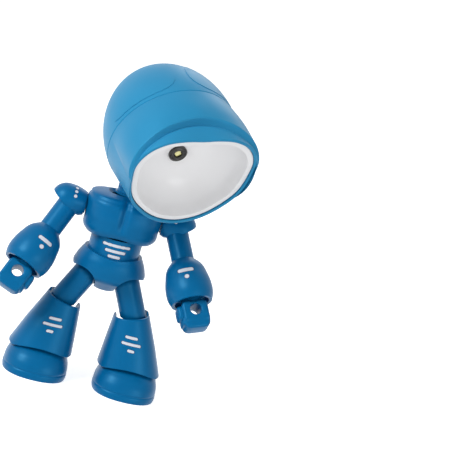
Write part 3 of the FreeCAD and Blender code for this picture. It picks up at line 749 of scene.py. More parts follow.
BLACK = Finish(
    "black_moulded", "black_plastic", (0.012, 0.012, 0.012), (0.020, 0.018, 0.016),
    roughness=0.34, mottle=0.8, smudge=0.15, grain=3200.0, grain_depth=0.08,
)
PHOSPHOR = Finish(
    "phosphor_under_resin", "phosphor_yellow", (0.84, 0.80, 0.36), (0.72, 0.66, 0.26),
    roughness=0.20, mottle=0.9, smudge=0.05, grain=6000.0, grain_depth=0.04, coat=0.6, glow=0.12,
)
BOARD_METAL = Finish(
    "board_aluminium", "board_metal", (0.72, 0.72, 0.73), (0.62, 0.62, 0.63),
    roughness=0.38, mottle=0.6, smudge=0.2, grain=4000.0, grain_depth=0.1, metal=1.0,
)
BOARD_GREEN = Finish(
    "board_green_mask", "board_green", (0.020, 0.150, 0.050), (0.012, 0.100, 0.035),
    roughness=0.30, mottle=0.7, grain=4000.0, grain_depth=0.06,
)
CELL = Finish(
    "cell_silver_wrap", "cell_wrap", (0.52, 0.54, 0.57), (0.42, 0.44, 0.48),
    roughness=0.34, mottle=0.6, smudge=0.2, grain=900.0, grain_depth=0.15, metal=0.7,
)
STEEL = Finish(
    "steel_plated", "steel", (0.54, 0.54, 0.55), (0.44, 0.44, 0.45),
    roughness=0.32, mottle=0.7, smudge=0.2, grain=3600.0, grain_depth=0.15, metal=1.0,
)
NYLON = Finish(
    "nylon_natural", "nylon_white", (0.74, 0.73, 0.69), (0.68, 0.67, 0.62), roughness=0.50,
)
RUBBER = Finish(
    "sole_rubber_dark", "sole_rubber", (0.020, 0.021, 0.024), (0.030, 0.030, 0.033),
    roughness=0.72, mottle=0.8, smudge=0.15, grain=1600.0, grain_depth=0.3,
)
FINISHES = (
    HEAD_BLUE, BODY_BLUE, WHITE, PRINT_WHITE, PRINT_EDGE, BLACK, PHOSPHOR, BOARD_METAL,
    BOARD_GREEN, CELL, STEEL, NYLON, RUBBER,
)


class Workshop:
    """Holds the frame and the built materials, and hands finished pieces over."""

    def __init__(self, frame: dict) -> None:
        """Build every material once.
        """
        self.frame = frame
        self.joints = {joint["name"]: joint for joint in frame["joints"]}
        skin = SkinGroup().build()
        self.materials = {finish.name: finish.build(skin) for finish in FINISHES}

    def spot(self, joint: str) -> np.ndarray:
        """A joint's place in millimetres."""
        return np.array(self.joints[joint]["pos_m"]) / MM

    def below_waist(self) -> np.ndarray:
        """The frame on the floor under the waist's axis, as a matrix."""
        across, deep, _ = self.spot("waist_turn")
        return shift(across, deep, 0.0)

    def coat(self, piece: bpy.types.Object, finish: Finish) -> None:
        """Give a piece one finish."""
        piece.data.materials.clear()
        piece.data.materials.append(self.materials[finish.name])

    def dress(self, finishes: dict[str, Finish]) -> None:
        """Give CAD nodes that stay as they are their finishes, by name."""
        for node, finish in finishes.items():
            self.coat(self.frame["nodes"][node], finish)

    def hand_over(self, piece: bpy.types.Object, finish: Finish, body: str, *replaced: str) -> None:
        """Finish a new piece.

        Args:
            piece: the piece.
            finish: its finish.
            body: the body that it rides on.
            replaced: the CAD nodes that it stands for.
        """
        self.coat(piece, finish)
        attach(piece, body)
        if replaced:
            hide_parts(*replaced)
        LOG.info("%s: %d faces on %s", piece.name, len(piece.data.polygons), body)

    def print_bar(
        self,
        name: str,
        surface: Surface,
        centre: tuple[float, float],
        half: tuple[float, float],
        place: np.ndarray,
        body: str,
        outward: float,
    ) -> None:
        """Print a rounded bar on a surface: white ink over a slightly wider dark one.

        Args:
            name: the print's name.
            surface: the surface under the print.
            centre: the two parameters of the print's middle.
            half: half the bar's length and half its width.
            place: the surface's frame.
            body: the body that the print rides on.
            outward: 1 or -1, the side of the surface that shows.
        """
        for suffix, wider, lift, ink in (
            ("_edge", 0.22, 0.05, PRINT_EDGE),
            ("", 0.0, 0.10, PRINT_WHITE),
        ):
            outline = bar_outline(half[0] + wider, half[1] + wider)
            grid = patch_grid(surface, centre, outline, lift, outward)
            self.hand_over(grid_object(name + suffix, grid, place), ink, body)


# Head


@dataclass
class Head:
    """The lamp head. Its own frame has its origin at the middle of the seam, the lamp's axis
    along -Y and the crown along +Z."""

    shop: Workshop
    pan: float = 27.3
    tilt: float = 27.0
    pivot_back: float = 10.3
    pivot_drop: float = 40.2
    seam: float = 35.6
    dome_long: float = 46.5
    hood_roll: float = -13.0
    hood_long: float = 31.35
    lip_back: float = 0.5
    wall: float = 1.8
    groove: float = 0.32
    brow_wide: float = 0.93
    brow_back: float = 20.0
    brow_sweep: float = 54.0
    brow_proud: float = 3.2
    brow_ear: float = 0.1
    brow_swell: float = 0.6
    crest_high: float = 0.5
    crest_wide: float = 0.16
    crest_run: tuple[float, float] = (4.0, 16.0)
    step_start: float = 0.1
    step_end: float = 1.8
    step_run: tuple[float, float] = (-1.2, 0.0)
    hollow_back: float = 1.5
    hollow_wide: float = 0.6
    panel_lift: float = 0.7
    panel_edge: float = 0.035
    bowl_deep: float = 21.0
    bowl_wall: float = 0.9
    bowl_gap: float = 0.25
    ledge_back: float = 1.0
    flange_long: float = 1.4
    flange_share: float = 0.955
    floor_radius: float = 6.0
    collar: float = 5.05
    floor_share: float = 0.9
    rim_radius: float = 34.0
    emitter_half: float = 1.62
    emitter_squareness: float = 7.0
    emitter_gap: float = 0.05
    button_hole: float = 4.75
    socket_drop: float = 15.5
    socket_half: tuple[float, float] = (4.6, 1.75)
    neck_slot_half: tuple[float, float] = (2.7, 4.5)

    # the opening's right half from the crown down, as shares of the seam's radius
    OPENING = (
        (0.0, 0.832),
        (0.30, 0.835),
        (0.58, 0.785),
        (0.82, 0.635),
        (0.975, 0.3525),
        (0.975, 0.094),
        (0.892, -0.273),
        (0.660, -0.578),
        (0.3375, -0.799),
        (0.0, -0.8695),
    )
    # the right panel's middle, as two angles on the dome, and its outline in millimetres
    PANEL_CENTRE = (0.738, 0.334)
    PANEL_SPREAD = (
        (-20.0, -6.2), (-16.4, -10.3), (-11.0, -12.3), (-2.1, -12.8), (7.3, -12.8),
        (14.5, -12.5), (18.3, -10.2), (19.0, -2.0), (18.4, 8.0), (14.5, 15.5), (7.0, 19.5),
        (-3.0, 20.0), (-12.0, 15.5), (-18.0, 8.0), (-20.4, 1.0),
    )
    # the bowl from the rim to the floor: step, share of the rim, share of the depth, roundness
    BOWL = (
        (0.0, 0.912, 0.0, 0.0),
        (0.33, 0.80, 0.40, 0.35),
        (0.66, 0.55, 0.78, 0.8),
        (1.0, 0.20, 1.0, 1.0),
    )
    # the ledge round the bowl from the outside in: share of the rim, distance behind its face
    LEDGE = ((1.0, 0.25), (0.994, 0.0), (0.96, 0.0), (0.925, 0.0))
    # the emitter from its seat to its crown: share of the half width, height
    EMITTER = (
        (0.0, 0.0), (1.0, 0.0), (1.0, 1.5), (0.96, 1.65), (0.85, 1.75), (0.6, 1.9), (0.3, 2.0),
        (0.0, 2.02),
    )
    CARRIED = {
        "led_collar": BLACK,
        "led_board": BOARD_METAL,
        "control_board": BOARD_GREEN,
        "tact_switch": BLACK,
        "charge_socket": STEEL,
        "battery_cell": CELL,
        "battery_cradle": BLACK,
        "neck_bracket": BODY_BLUE,
        "power_button": HEAD_BLUE,
        "head_screws": STEEL,
        "neck_post": BODY_BLUE,
        "tilt_pin": STEEL,
        "friction_washers": NYLON,
        "neck_clip": STEEL,
    }

    def __post_init__(self) -> None:
        """Work out the head's frames from the tilt joint's place, and the opening's outline."""
        self.place = (
            shift(*self.shop.spot("head_tilt"))
            @ spin(self.pan, "Z")
            @ spin(self.tilt, "X")
            @ shift(0, -self.pivot_back, self.pivot_drop)
        )
        self.rolled = self.place @ spin(self.hood_roll, "Y")
        self.ledge = self.ledge_back - self.hood_long
        loop = list(self.OPENING) + [(-x, z) for x, z in self.OPENING[-2:0:-1]]
        self.angles = [math.atan2(x, z) for x, z in loop]
        self.shares = [math.hypot(x, z) for x, z in loop]

    def share(self, angle: np.ndarray) -> np.ndarray:
        """The opening's radius at an angle from the crown, as a share of the seam's radius."""
        return around(self.angles, self.shares, angle)

    def hood(self, angle: np.ndarray, y: np.ndarray, inset: float = 0.0) -> np.ndarray:
        """The hood: a cone from the round seam to the opening's outline; the upper half is
        swollen behind the brow's curved edge and steps in below it.

        Args:
            angle: the angle from the crown.
            y: the place along the lamp's axis, negative towards the opening.
            inset: the distance under the outside; the brow is on the outside only.

        Returns:
            The points.
        """
        depth = -y / self.hood_long
        out = self.seam * (1 + (self.share(angle) - 1) * depth) - inset
        if inset == 0.0:
            out = out + self.brow(angle, y)
        return turned(Axis.Y, angle, out, y)

    def brow_edge(self, angle: np.ndarray) -> np.ndarray:
        """Where the brow ends: a wide arc seen from above, furthest back over the middle."""
        x = self.seam * self.brow_wide * np.sin(angle)
        return -(self.brow_back + self.brow_sweep - np.sqrt(self.brow_sweep**2 - x**2))

    def brow(self, angle: np.ndarray, y: np.ndarray) -> np.ndarray:
        """How far the brow stands proud: most at the crown, none below the ears, with a soft
        start at the seam, a low crest over the middle and a short hollow step at its edge.

        Args:
            angle: the angle from the crown.
            y: the place along the lamp's axis.

        Returns:
            The height over the cone.
        """
        lift = np.sqrt(np.clip(np.cos(angle) - self.brow_ear, 0.0, 1.0))
        start = np.sin(np.clip(-y / self.hood_long / self.brow_swell, 0, 1) * math.pi / 2)
        behind = y - self.brow_edge(angle)
        crest = self.crest_high * np.exp(-((angle / self.crest_wide) ** 2))
        proud = self.brow_proud * lift * start + crest * ramp(-y, *self.crest_run) * lift
        hollow = np.exp(-(((behind + self.hollow_back) / self.hollow_wide) ** 2))
        return proud * ramp(behind, *self.step_run) - lift * hollow

    def make_hood(self) -> None:
        """The front hood: outside, rounded rim, inside wall and seam edge, as one closed skin."""
        angle = whole_turn(300)
        edge, lip = self.brow_edge(angle), self.lip_back - self.hood_long
        start, top, foot = -self.groove * 1.1, edge + self.step_start, edge - self.step_end
        y_back = start + (top - start) * np.linspace(0.0, 1.0, 46)
        y_step = top + (foot - top) * np.linspace(0.0, 1.0, 9)[1:]
        y_front = foot + (lip - foot) * np.linspace(0.0, 1.0, 22)[1:]
        outer = self.hood(angle, np.concatenate([y_back, y_step, y_front], 1))
        seam_edge = self.hood(angle, np.zeros_like(angle), self.groove)
        half = self.wall / 2
        rim = [
            self.hood(
                angle,
                np.full_like(angle, lip - self.lip_back * math.sin(a)),
                half - half * math.cos(a),
            )
            for a in np.linspace(0, math.pi, 9)[1:-1]
        ]
        inner_y = np.linspace(lip, 0.0, 16) + np.zeros_like(angle)
        inner = self.hood(angle, inner_y, self.wall)
        grid = np.concatenate([seam_edge, outer, *rim, inner], 1)
        piece = grid_object("hood_shell", grid, self.rolled, Wrap.BOTH)
        self.shop.hand_over(piece, HEAD_BLUE, "head", "front_hood")

    def dome(self, angle: np.ndarray, back: np.ndarray, inset: float = 0.0) -> np.ndarray:
        """The dome: half an egg, whose radius is a cosine and whose depth is a sine.

        Args:
            angle: the angle from the crown.
            back: 0 at the seam, and a quarter turn at the pole.
            inset: the distance under the outside.

        Returns:
            The points.
        """
        radius = (self.seam - inset) * np.cos(back)
        return turned(Axis.Y, angle, radius, (self.dome_long - inset) * np.sin(back))

    def make_dome(self) -> None:
        """The rear dome: it starts at the button's hole, and is cut for the neck and the
        charge socket."""
        angle = whole_turn(280)
        pole = math.acos(self.button_hole / self.seam)
        outer = self.dome(angle, np.linspace(self.groove / self.seam, pole, 96)[None])
        inner_pole = math.acos(self.button_hole / (self.seam - self.wall))
        inner = self.dome(angle, np.linspace(inner_pole, 0.0, 40)[None], self.wall)
        seam_edge = self.dome(angle, np.zeros((1, 1)), self.groove)
        grid = np.concatenate([seam_edge, outer, inner], 1)
        piece = grid_object("dome_shell", grid, self.place, Wrap.BOTH)
        (wide, high), drop = self.socket_half, self.socket_drop
        slot_wide, slot_long = self.neck_slot_half
        front, back = self.pivot_back - slot_long, self.pivot_back + slot_long
        # both boxes reach right through the wall
        cutters = [
            box_cutter((-wide, 30, -drop - high), (wide, 60, -drop + high), self.place),
            box_cutter((-slot_wide, front, -45), (slot_wide, back, -25), self.place),
        ]
        cut(piece, cutters)
        self.shop.hand_over(piece, HEAD_BLUE, "head", "rear_dome")

    def make_panels(self) -> None:
        """A low raised panel on each side of the dome, wide near the crown and pointed at the
        ear."""
        knots = whole_turn(len(self.PANEL_SPREAD))[:, 0]
        turn = whole_turn(120)[:, 0]
        spread = np.stack([around(knots, v, turn) for v in zip(*self.PANEL_SPREAD)], -1)
        for side, sign in SIDES.items():
            centre = (sign * self.PANEL_CENTRE[0], self.PANEL_CENTRE[1])
            grid = patch_grid(
                self.dome, centre, spread * np.array([sign, 1.0]), self.panel_lift, -1.0,
                rings=36, edge=self.panel_edge,
            )
            piece = grid_object(f"dome_panel_{side}", grid, self.rolled)
            self.shop.hand_over(piece, HEAD_BLUE, "head")

    def bowl_rim(self, angle: np.ndarray) -> np.ndarray:
        """The bowl's radius at its rim: it fits inside the hood with a small gap."""
        return self.seam * self.share(angle) - self.wall - self.bowl_gap

    def bowl(self, angle: np.ndarray, t: np.ndarray, thicker: float = 0.0) -> np.ndarray:
        """The reflector: from the opening's outline at the ledge to a round floor, through the
        ring sizes that its steps give.

        Args:
            angle: the angle from the crown.
            t: 0 at the ledge and 1 at the floor.
            thicker: the distance behind the white face.

        Returns:
            The points.
        """
        steps, shares, backs, rounds = zip(*self.BOWL)
        share = through(steps, shares, t) + thicker / self.rim_radius
        back = through(steps, backs, t)
        round_share = through(steps, rounds, t)
        rim, floor = self.bowl_rim(angle), self.seam * self.floor_share
        out = share * (rim * (1 - round_share) + floor * round_share)
        return turned(Axis.Y, angle, out, self.ledge + back * self.bowl_deep + thicker)

    def make_bowl(self) -> None:
        """The reflector bowl with the flat ledge round its rim and the hole for the collar."""
        angle = whole_turn(240)
        front, rim = self.ledge, self.bowl_rim(angle)
        flange, bottom = front + self.flange_long, front + self.bowl_deep
        t = np.linspace(0.0, 1.0, 56)[None]
        ledge = [
            turned(Axis.Y, angle, rim * share, y)
            for share, y in [(1.0, flange)] + [(k, front + back) for k, back in self.LEDGE]
        ]
        floor = [
            turned(Axis.Y, angle, radius, y)
            for radius, y in (
                (self.floor_radius, bottom),
                (self.collar, bottom),
                (self.collar, bottom + self.bowl_wall),
            )
        ]
        back = self.bowl(angle, t[:, ::-1], self.bowl_wall)[:, 2:-3]
        flange_back = turned(Axis.Y, angle, rim * self.flange_share, flange)
        grid = np.concatenate([*ledge, self.bowl(angle, t), *floor, back, flange_back], 1)
        piece = grid_object("reflector_skin", grid, self.rolled, Wrap.BOTH)
        self.shop.hand_over(piece, WHITE, "head", "reflector_bowl")

    def make_emitter(self) -> None:
        """The emitter: a square slab of phosphor set cornerwise, with a low crown on it."""
        seat = self.ledge + self.bowl_deep + self.bowl_wall + self.emitter_gap
        share, height = (np.array([values]) for values in zip(*self.EMITTER))
        half = self.emitter_half
        x, z = squared_circle(whole_turn(64), half, half, self.emitter_squareness)
        x, z = (x - z) * math.sqrt(0.5), (x + z) * math.sqrt(0.5)
        grid = np.stack([x * share, seat - height + x * 0, z * share], -1)
        piece = grid_object("emitter_slab", grid, self.place)
        self.shop.hand_over(piece, PHOSPHOR, "head", "led_lens")

    def build(self) -> None:
        """Every piece of the head."""
        self.make_hood()
        self.make_dome()
        self.make_panels()
        self.make_bowl()
        self.make_emitter()
        self.shop.dress(self.CARRIED)


# Torso and pelvis


@dataclass
class Torso:
    """Chest, waist and pelvis, in the body's frame: the floor under the waist's axis."""

    shop: Workshop
    chest_base: float = 86.0
    chest_top: float = 109.5
    chest_squareness: float = 2.5
    swell: float = 0.9
    swell_at: float = 0.5
    swell_long: float = 0.35
    cleft: float = 1.9
    cleft_wide: float = 1.9
    hem_arch: float = 1.3
    hem_arch_wide: float = 9.0
    pelvis_squareness: float = 2.15
    collar_dip: float = 1.8
    collar_dip_wide: float = 11.0
    wall: float = 1.8
    waist_radius: float = 14.4
    axle_hole: float = 2.02
    axle_high: float = 98.5
    screw_head: float = 1.9
    chest_screw: tuple[float, float, float] = (9.5, 17.5, 93.0)
    pelvis_screw: tuple[float, float, float] = (4.4, 16.4, 65.4)
    leg_arch: float = 9.6
    leg_arch_at: tuple[float, float, float] = (15.2, 0.0, 57.4)
    hip_ball: float = 7.5
    hip_ball_at: tuple[float, float, float] = (17.9, 0.0, 60.0)

    # share of the height, half width, half depth
    CHEST = (
        (0.0, 18.2, 15.6),
        (0.05, 19.5, 16.2),
        (0.34, 20.9, 17.0),
        (0.60, 21.3, 16.8),
        (0.85, 20.7, 15.6),
        (0.96, 17.4, 12.8),
        (1.0, 11.5, 9.0),
    )
    # height, half width, half depth
    PELVIS = (
        (55.0, 5.8, 6.0),
        (58.5, 11.0, 11.0),
        (62.0, 18.2, 15.6),
        (66.0, 20.5, 17.0),
        (70.0, 19.6, 17.3),
        (77.0, 16.2, 16.2),
    )
    # height and half length of each printed bar
    WAIST_BARS = ((83.0, 8.2), (79.8, 6.0), (76.8, 3.6))
    WAIST_BAR_HALF_WIDE = 0.85
    CARRIED = {
        "waist_core": BODY_BLUE,
        "chest_screws": STEEL,
        "shoulder_axle": STEEL,
        "shoulder_washers": BODY_BLUE,
        "neck_bush": BODY_BLUE,
        "pelvis_screws": STEEL,
        "waist_screw": STEEL,
        "hip_axle": STEEL,
    }

    def __post_init__(self) -> None:
        """Stand on the floor under the waist's axis."""
        self.place = self.shop.below_waist()

    def chest(self, angle: np.ndarray, share: np.ndarray, inset: float = 0.0) -> np.ndarray:
        """The chest: squared circles whose two half sizes follow the height, with a soft
        swelling in front, a cleft down its middle and an arched lower edge.

        Args:
            angle: the angle from the X axis.
            share: the share of the chest's height.
            inset: the distance under the outside, which alone has the swelling and the cleft.

        Returns:
            The points.
        """
        steps, wides, deeps = zip(*self.CHEST)
        wide = through(steps, wides, share) - inset
        deep = through(steps, deeps, share) - inset
        x, y = squared_circle(angle, wide, deep, self.chest_squareness)
        forward = np.clip(-np.sin(angle), 0.0, 1.0)
        if inset == 0.0:
            from_middle = (share - self.swell_at) / self.swell_long
            swell = self.swell * ramp(forward, 0.2, 0.8) * np.exp(-(from_middle**2))
            cleft = self.cleft * np.exp(-((x / self.cleft_wide) ** 2)) * ramp(forward, 0.5, 0.9)
            y = y - (swell - cleft * ramp(share, 0.1, 0.5))
        low, high = self.chest_base + inset, self.chest_top - inset
        arch = self.hem_arch * np.exp(-((x / self.hem_arch_wide) ** 2)) * ramp(forward, 0.3, 0.8)
        z = low + (high - low) * share + arch * (1 - ramp(share, 0.0, 0.3))
        return np.stack([x, y, z], -1)

    def pelvis(self, angle: np.ndarray, share: np.ndarray, inset: float = 0.0) -> np.ndarray:
        """The pelvis: squared circles from the crotch up to the collar, whose front and back
        edges dip.

        Args:
            angle: the angle from the X axis.
            share: the share of the pelvis's height.
            inset: the distance under the outside.

        Returns:
            The points.
        """
        thinnest = 0.6
        heights, wides, deeps = zip(*self.PELVIS)
        low, high = heights[0] + inset, heights[-1]
        z = low + (high - low) * share
        wide = np.maximum(through(heights, wides, z) - inset, thinnest)
        deep = np.maximum(through(heights, deeps, z) - inset, thinnest)
        x, y = squared_circle(angle, wide, deep, self.pelvis_squareness)
        dip = self.collar_dip * np.exp(-((x / self.collar_dip_wide) ** 2))
        dip = dip * ramp(share, 0.72, 1.0)
        return np.stack([x, y, np.broadcast_to(z, x.shape) - dip], -1)

    def half_shell(
        self, surface: Callable[..., np.ndarray], front: bool, shares: np.ndarray
    ) -> np.ndarray:
        """One half of a shell: the outside going up, the inside coming down.

        Args:
            surface: the shell's surface.
            front: whether it is the front half.
            shares: the rows' shares of the height.

        Returns:
            A grid of points.
        """
        gap = 0.004
        low, high = (-math.pi + gap, -gap) if front else (gap, math.pi - gap)
        angle = np.linspace(low, high, 150)[:, None]
        outer = surface(angle, shares[None])
        inner = surface(angle, shares[None, ::-1], self.wall)
        return np.concatenate([outer, inner], 1)

    def pair(
        self,
        radius: float,
        length: float,
        at: tuple[float, float, float],
        axis: str,
        sides: int,
    ) -> list[bpy.types.Object]:
        """Two equal rod cutters, one on each side of the middle.

        Args:
            radius: their radius.
            length: their length.
            at: the right one's middle.
            axis: the axis that they are turned about, a quarter turn from upright.
            sides: the number of their sides.

        Returns:
            The two cutters.
        """
        return [
            rod_cutter(
                radius, length, self.place @ shift(s * at[0], *at[1:]) @ spin(90, axis), sides
            )
            for s in SIDES.values()
        ]

    def make_halves(
        self,
        name: str,
        surface: Callable[..., np.ndarray],
        shares: np.ndarray,
        body: str,
        cutters: Callable[[bool], list[bpy.types.Object]],
    ) -> None:
        """The two halves of a shell, split on the middle plane.

        Args:
            name: the shell's name.
            surface: its surface.
            shares: the rows' shares of the height.
            body: the body that it rides on.
            cutters: gives what the front half, or else the back half, is cut with.
        """
        for half, front in (("front", True), ("back", False)):
            node = f"{name}_{half}"
            grid = self.half_shell(surface, front, shares)
            piece = grid_object(node + "_shell", grid, self.place, Wrap.PROFILE, capped=True)
            cut(piece, cutters(front))
            self.shop.hand_over(piece, BODY_BLUE, body, node)

    def chest_cutters(self, front: bool) -> list[bpy.types.Object]:
        """What the chest is cut with: the shoulder axle's hole and, behind, two screw holes.

        Args:
            front: whether it is for the front half.

        Returns:
            The cutters.
        """
        middle = self.place @ shift(0, 0, self.axle_high) @ spin(90, "Y")
        axle = [rod_cutter(self.axle_hole, 60, middle, 64)]
        return axle if front else axle + self.pair(self.screw_head, 12, self.chest_screw, "X", 32)

    def pelvis_cutters(self, front: bool) -> list[bpy.types.Object]:
        """What the pelvis is cut with: an arched opening and a ball's seat for either leg and,
        behind, two screw holes.

        Args:
            front: whether it is for the front half.

        Returns:
            The cutters.
        """
        legs = self.pair(self.leg_arch, 80, self.leg_arch_at, "X", 96)
        legs += self.pair(self.hip_ball, 24.2, self.hip_ball_at, "Y", 96)
        return legs if front else legs + self.pair(self.screw_head, 9, self.pelvis_screw, "X", 32)

    def waist(self, angle: np.ndarray, z: np.ndarray) -> np.ndarray:
        """The waist drum: a plain cylinder."""
        return turned(Axis.Z, angle, self.waist_radius, z)

    def make_waist_print(self) -> None:
        """Three level bars printed on the waist, each with a thin dark edge."""
        for n, (height, half_long) in enumerate(self.WAIST_BARS, start=1):
            self.shop.print_bar(
                f"waist_bar_{n}", self.waist, (-math.pi / 2, height),
                (half_long, self.WAIST_BAR_HALF_WIDE), self.place, "torso", 1.0,
            )

    def build(self) -> None:
        """Every piece of the torso and the pelvis."""
        shares = np.concatenate([[0.0, 0.008, 0.03], np.linspace(0.06, 1.0, 58)])
        self.make_halves("chest", self.chest, shares, "torso", self.chest_cutters)
        shares = np.linspace(0.0, 1.0, 70)
        self.make_halves("pelvis", self.pelvis, shares, "pelvis", self.pelvis_cutters)
        self.make_waist_print()
        self.shop.dress(self.CARRIED)


# Arms


@dataclass
class Arm:
    """One arm. Its own frame has its origin on the shoulder axis and -Z along the arm."""

    shop: Workshop
    side: str
    swing: float
    splay: float = 22.0
    shoulder_out: float = 29.4
    cap_wall: float = 1.5
    cap_inside: float = 39.5
    slant_up: float = 3.0
    slant: float = 33.0
    radius: float = 6.2
    upper: float = 20.8
    gauntlet: float = 24.8
    gauntlet_gap: float = 0.1
    hand_wide: float = 14.4
    hand_deep: float = 11.5
    hand_long: float = 15.6
    hand_round: float = 1.5
    finger_round: float = 4.2
    wrist_round: float = 3.6
    face_reach: float = 0.86
    finger_hollow: float = 1.1
    hole_drop: float = 5.4
    hole: float = 3.15
    cap_dot: float = 0.95
    cap_dot_along: float = 28.2
    print_turn: float = 0.25

    # the cap's distance from the waist's axis, and its radius there
    CAP_ALONG = (21.9, 24.0, 27.5, 30.5, 33.6, 36.2, 38.6, 40.2, 41.0)
    CAP_RADIUS = (6.4, 7.3, 8.35, 8.75, 8.7, 7.9, 6.2, 3.6, 0.0)
    # distance down the gauntlet, radius
    GAUNTLET = (
        (0.0, 6.4),
        (3.5, 9.5),
        (10.0, 11.8),
        (16.4, 12.8),
        (21.7, 12.4),
        (24.8, 11.2),
    )
    # the gauntlet's mouth, recess and bore: radius, distance down
    GAUNTLET_INSIDE = (
        (10.9, 24.9),
        (9.8, 24.9),
        (9.4, 24.6),
        (9.4, 21.0),
        (9.0, 20.5),
        (3.05, 20.4),
        (3.05, 12.0),
        (0.0, 12.0),
        (0.0, 9.8),
        (3.55, 9.8),
        (3.55, 0.0),
    )
    # a palm face from the hole outwards: share of the way, depth under the face
    PALM_FACE = ((0.0, 0.6), (0.03, 0.15), (0.10, 0.0), (0.5, 0.0), (0.8, 0.0))
    # the wrist's radius and height
    WRIST = ((0.0, -2.0), (5.4, -2.0), (5.4, 4.2), (3.0, 4.2), (3.0, 12.2), (0.0, 12.2))
    CAP_DOTS = (112.0, 131.0, 150.0)  # degrees round the shoulder axis
    # name, distance down the gauntlet, half length and half width
    SLEEVE_PRINTS = (("bar", 9.5, (4.6, 1.15)), ("dot", 13.6, (1.25, 1.25)))

    def __post_init__(self) -> None:
        """Work out the arm's frame from the shoulder joint's place."""
        self.sign = SIDES[self.side]
        self.shoulder = shift(*self.shop.spot(f"shoulder_{self.side}"))
        self.place = (
            self.shoulder @ spin(-self.swing, "X") @ spin(-self.sign * self.splay, "Y")
        )
        self.out = self.sign * self.shoulder_out

    def cap(self, angle: np.ndarray, x: np.ndarray) -> np.ndarray:
        """The shoulder cap's outside: a radius that follows the distance from the waist's axis."""
        radius = through(self.CAP_ALONG, self.CAP_RADIUS, x)
        return turned(Axis.X, angle, radius, self.sign * x - self.out)

    def make_cap(self) -> None:
        """The shoulder cap: an arched outline turned about the shoulder axis, hollow, with its
        lower outer edge cut on the slant."""
        along, radii = self.CAP_ALONG, self.CAP_RADIUS
        t, knots = np.linspace(0.0, 1.0, 60), np.linspace(0.0, 1.0, len(along))
        x, r = through(knots, along, t), np.maximum(through(knots, radii, t), 0.0)
        inner_x, inner_r = np.minimum(x, self.cap_inside), np.maximum(r - self.cap_wall, 0.0)
        x = np.concatenate([x, inner_x[::-1]])
        r = np.concatenate([r, inner_r[::-1]])
        angle = np.linspace(0, TURN, 120, endpoint=False)[:, None]
        grid = turned(Axis.X, angle, r, self.sign * x - self.out)
        piece = grid_object(f"cap_shell_{self.side}", grid, self.shoulder)
        edge = shift(self.sign * self.cap_inside - self.out, 0, self.slant_up)
        slant = self.shoulder @ edge @ spin(-self.sign * self.slant, "Y")
        arm_way = self.place @ shift(0, 0, -self.upper / 2)
        cutters = [
            box_cutter((-60, -60, -60), (60, 60, 0), slant),
            rod_cutter(self.radius + 0.02, self.upper, arm_way, 96),
        ]
        cut(piece, cutters)
        self.shop.hand_over(
            piece, BODY_BLUE, f"upper_arm_{self.side}", f"shoulder_cap_{self.side}"
        )

    def sleeve(self, angle: np.ndarray, down: np.ndarray) -> np.ndarray:
        """The gauntlet's outside: radii that follow the distance down the arm."""
        radius = through(*zip(*self.GAUNTLET), down)
        return turned(Axis.Z, angle, radius, -self.upper - self.gauntlet_gap - down)

    def make_gauntlet(self) -> None:
        """The gauntlet: the sleeve, its rounded mouth, the recess and the socket's bore."""
        angle = np.linspace(0, TURN, 144, endpoint=False)[:, None]
        down = np.concatenate([np.linspace(0.0, 24.2, 60), [24.6, 24.8]])[None]
        radius, inside = (np.array(values)[None] for values in zip(*self.GAUNTLET_INSIDE))
        inner = turned(Axis.Z, angle, radius, -self.upper - self.gauntlet_gap - inside)
        grid = np.concatenate([self.sleeve(angle, down), inner], 1)
        piece = grid_object(f"gauntlet_skin_{self.side}", grid, self.place, Wrap.BOTH)
        self.shop.hand_over(piece, BODY_BLUE, f"forearm_{self.side}", f"gauntlet_{self.side}")

    def make_prints(self) -> None:
        """Three dots on the shoulder cap, and a short bar with a dot below it on the gauntlet."""
        for n, degrees in enumerate(self.CAP_DOTS, start=1):
            self.shop.print_bar(
                f"cap_dot_{n}_{self.side}", self.cap, (math.radians(degrees), self.cap_dot_along),
                (self.cap_dot, self.cap_dot), self.shoulder, f"upper_arm_{self.side}", self.sign,
            )
        front = -math.pi / 2 - self.sign * self.print_turn
        for name, down, half in self.SLEEVE_PRINTS:
            self.shop.print_bar(
                f"gauntlet_{name}_{self.side}", self.sleeve, (front, down), half,
                self.place, f"forearm_{self.side}", -1.0,
            )

    def palm_grid(self) -> np.ndarray:
        """The palm: a block with rounded corners round its through hole, as outlines that run
        from the hole over one face, round the side and back over the other face.

        Returns:
            A grid of points, with the fingertips' edge a little hollow.
        """
        wide, long, deep = self.hand_wide / 2, self.hand_long, self.hand_deep / 2
        low, high = self.finger_round, self.wrist_round
        corners = [(-wide, -long, low), (wide, -long, low), (wide, 0, high), (-wide, 0, high)]
        outline = resampled(rounded_profile(corners, 10), 96)
        middle = np.array([0.0, -self.hole_drop])
        angle = np.arctan2(outline[:, 1] - middle[1], outline[:, 0] - middle[0])
        hole = middle + self.hole * np.stack([np.cos(angle), np.sin(angle)], -1)
        direction = (outline - middle) / np.linalg.norm(outline - middle, axis=1, keepdims=True)
        face = [
            (hole + (outline - hole) * share * self.face_reach, deep - under)
            for share, under in self.PALM_FACE
        ]
        edge = [
            (
                outline - direction * (self.hand_round * (1 - math.sin(a))),
                deep - self.hand_round * (1 - math.cos(a)),
            )
            for a in np.linspace(0, math.pi / 2, 7)
        ]
        near = [(points, -height) for points, height in face + edge]
        levels = [face[0]] + near + edge[::-1] + face[:0:-1]
        x, z = np.stack([points for points, _ in levels], 1).transpose(2, 0, 1)
        y = np.array([height for _, height in levels]) + x * 0
        fingertips = ramp(-z, 10.4, 12.6) * ramp(-y, 3.0, 5.0)
        return np.stack([x, y + fingertips * self.finger_hollow, z], -1)

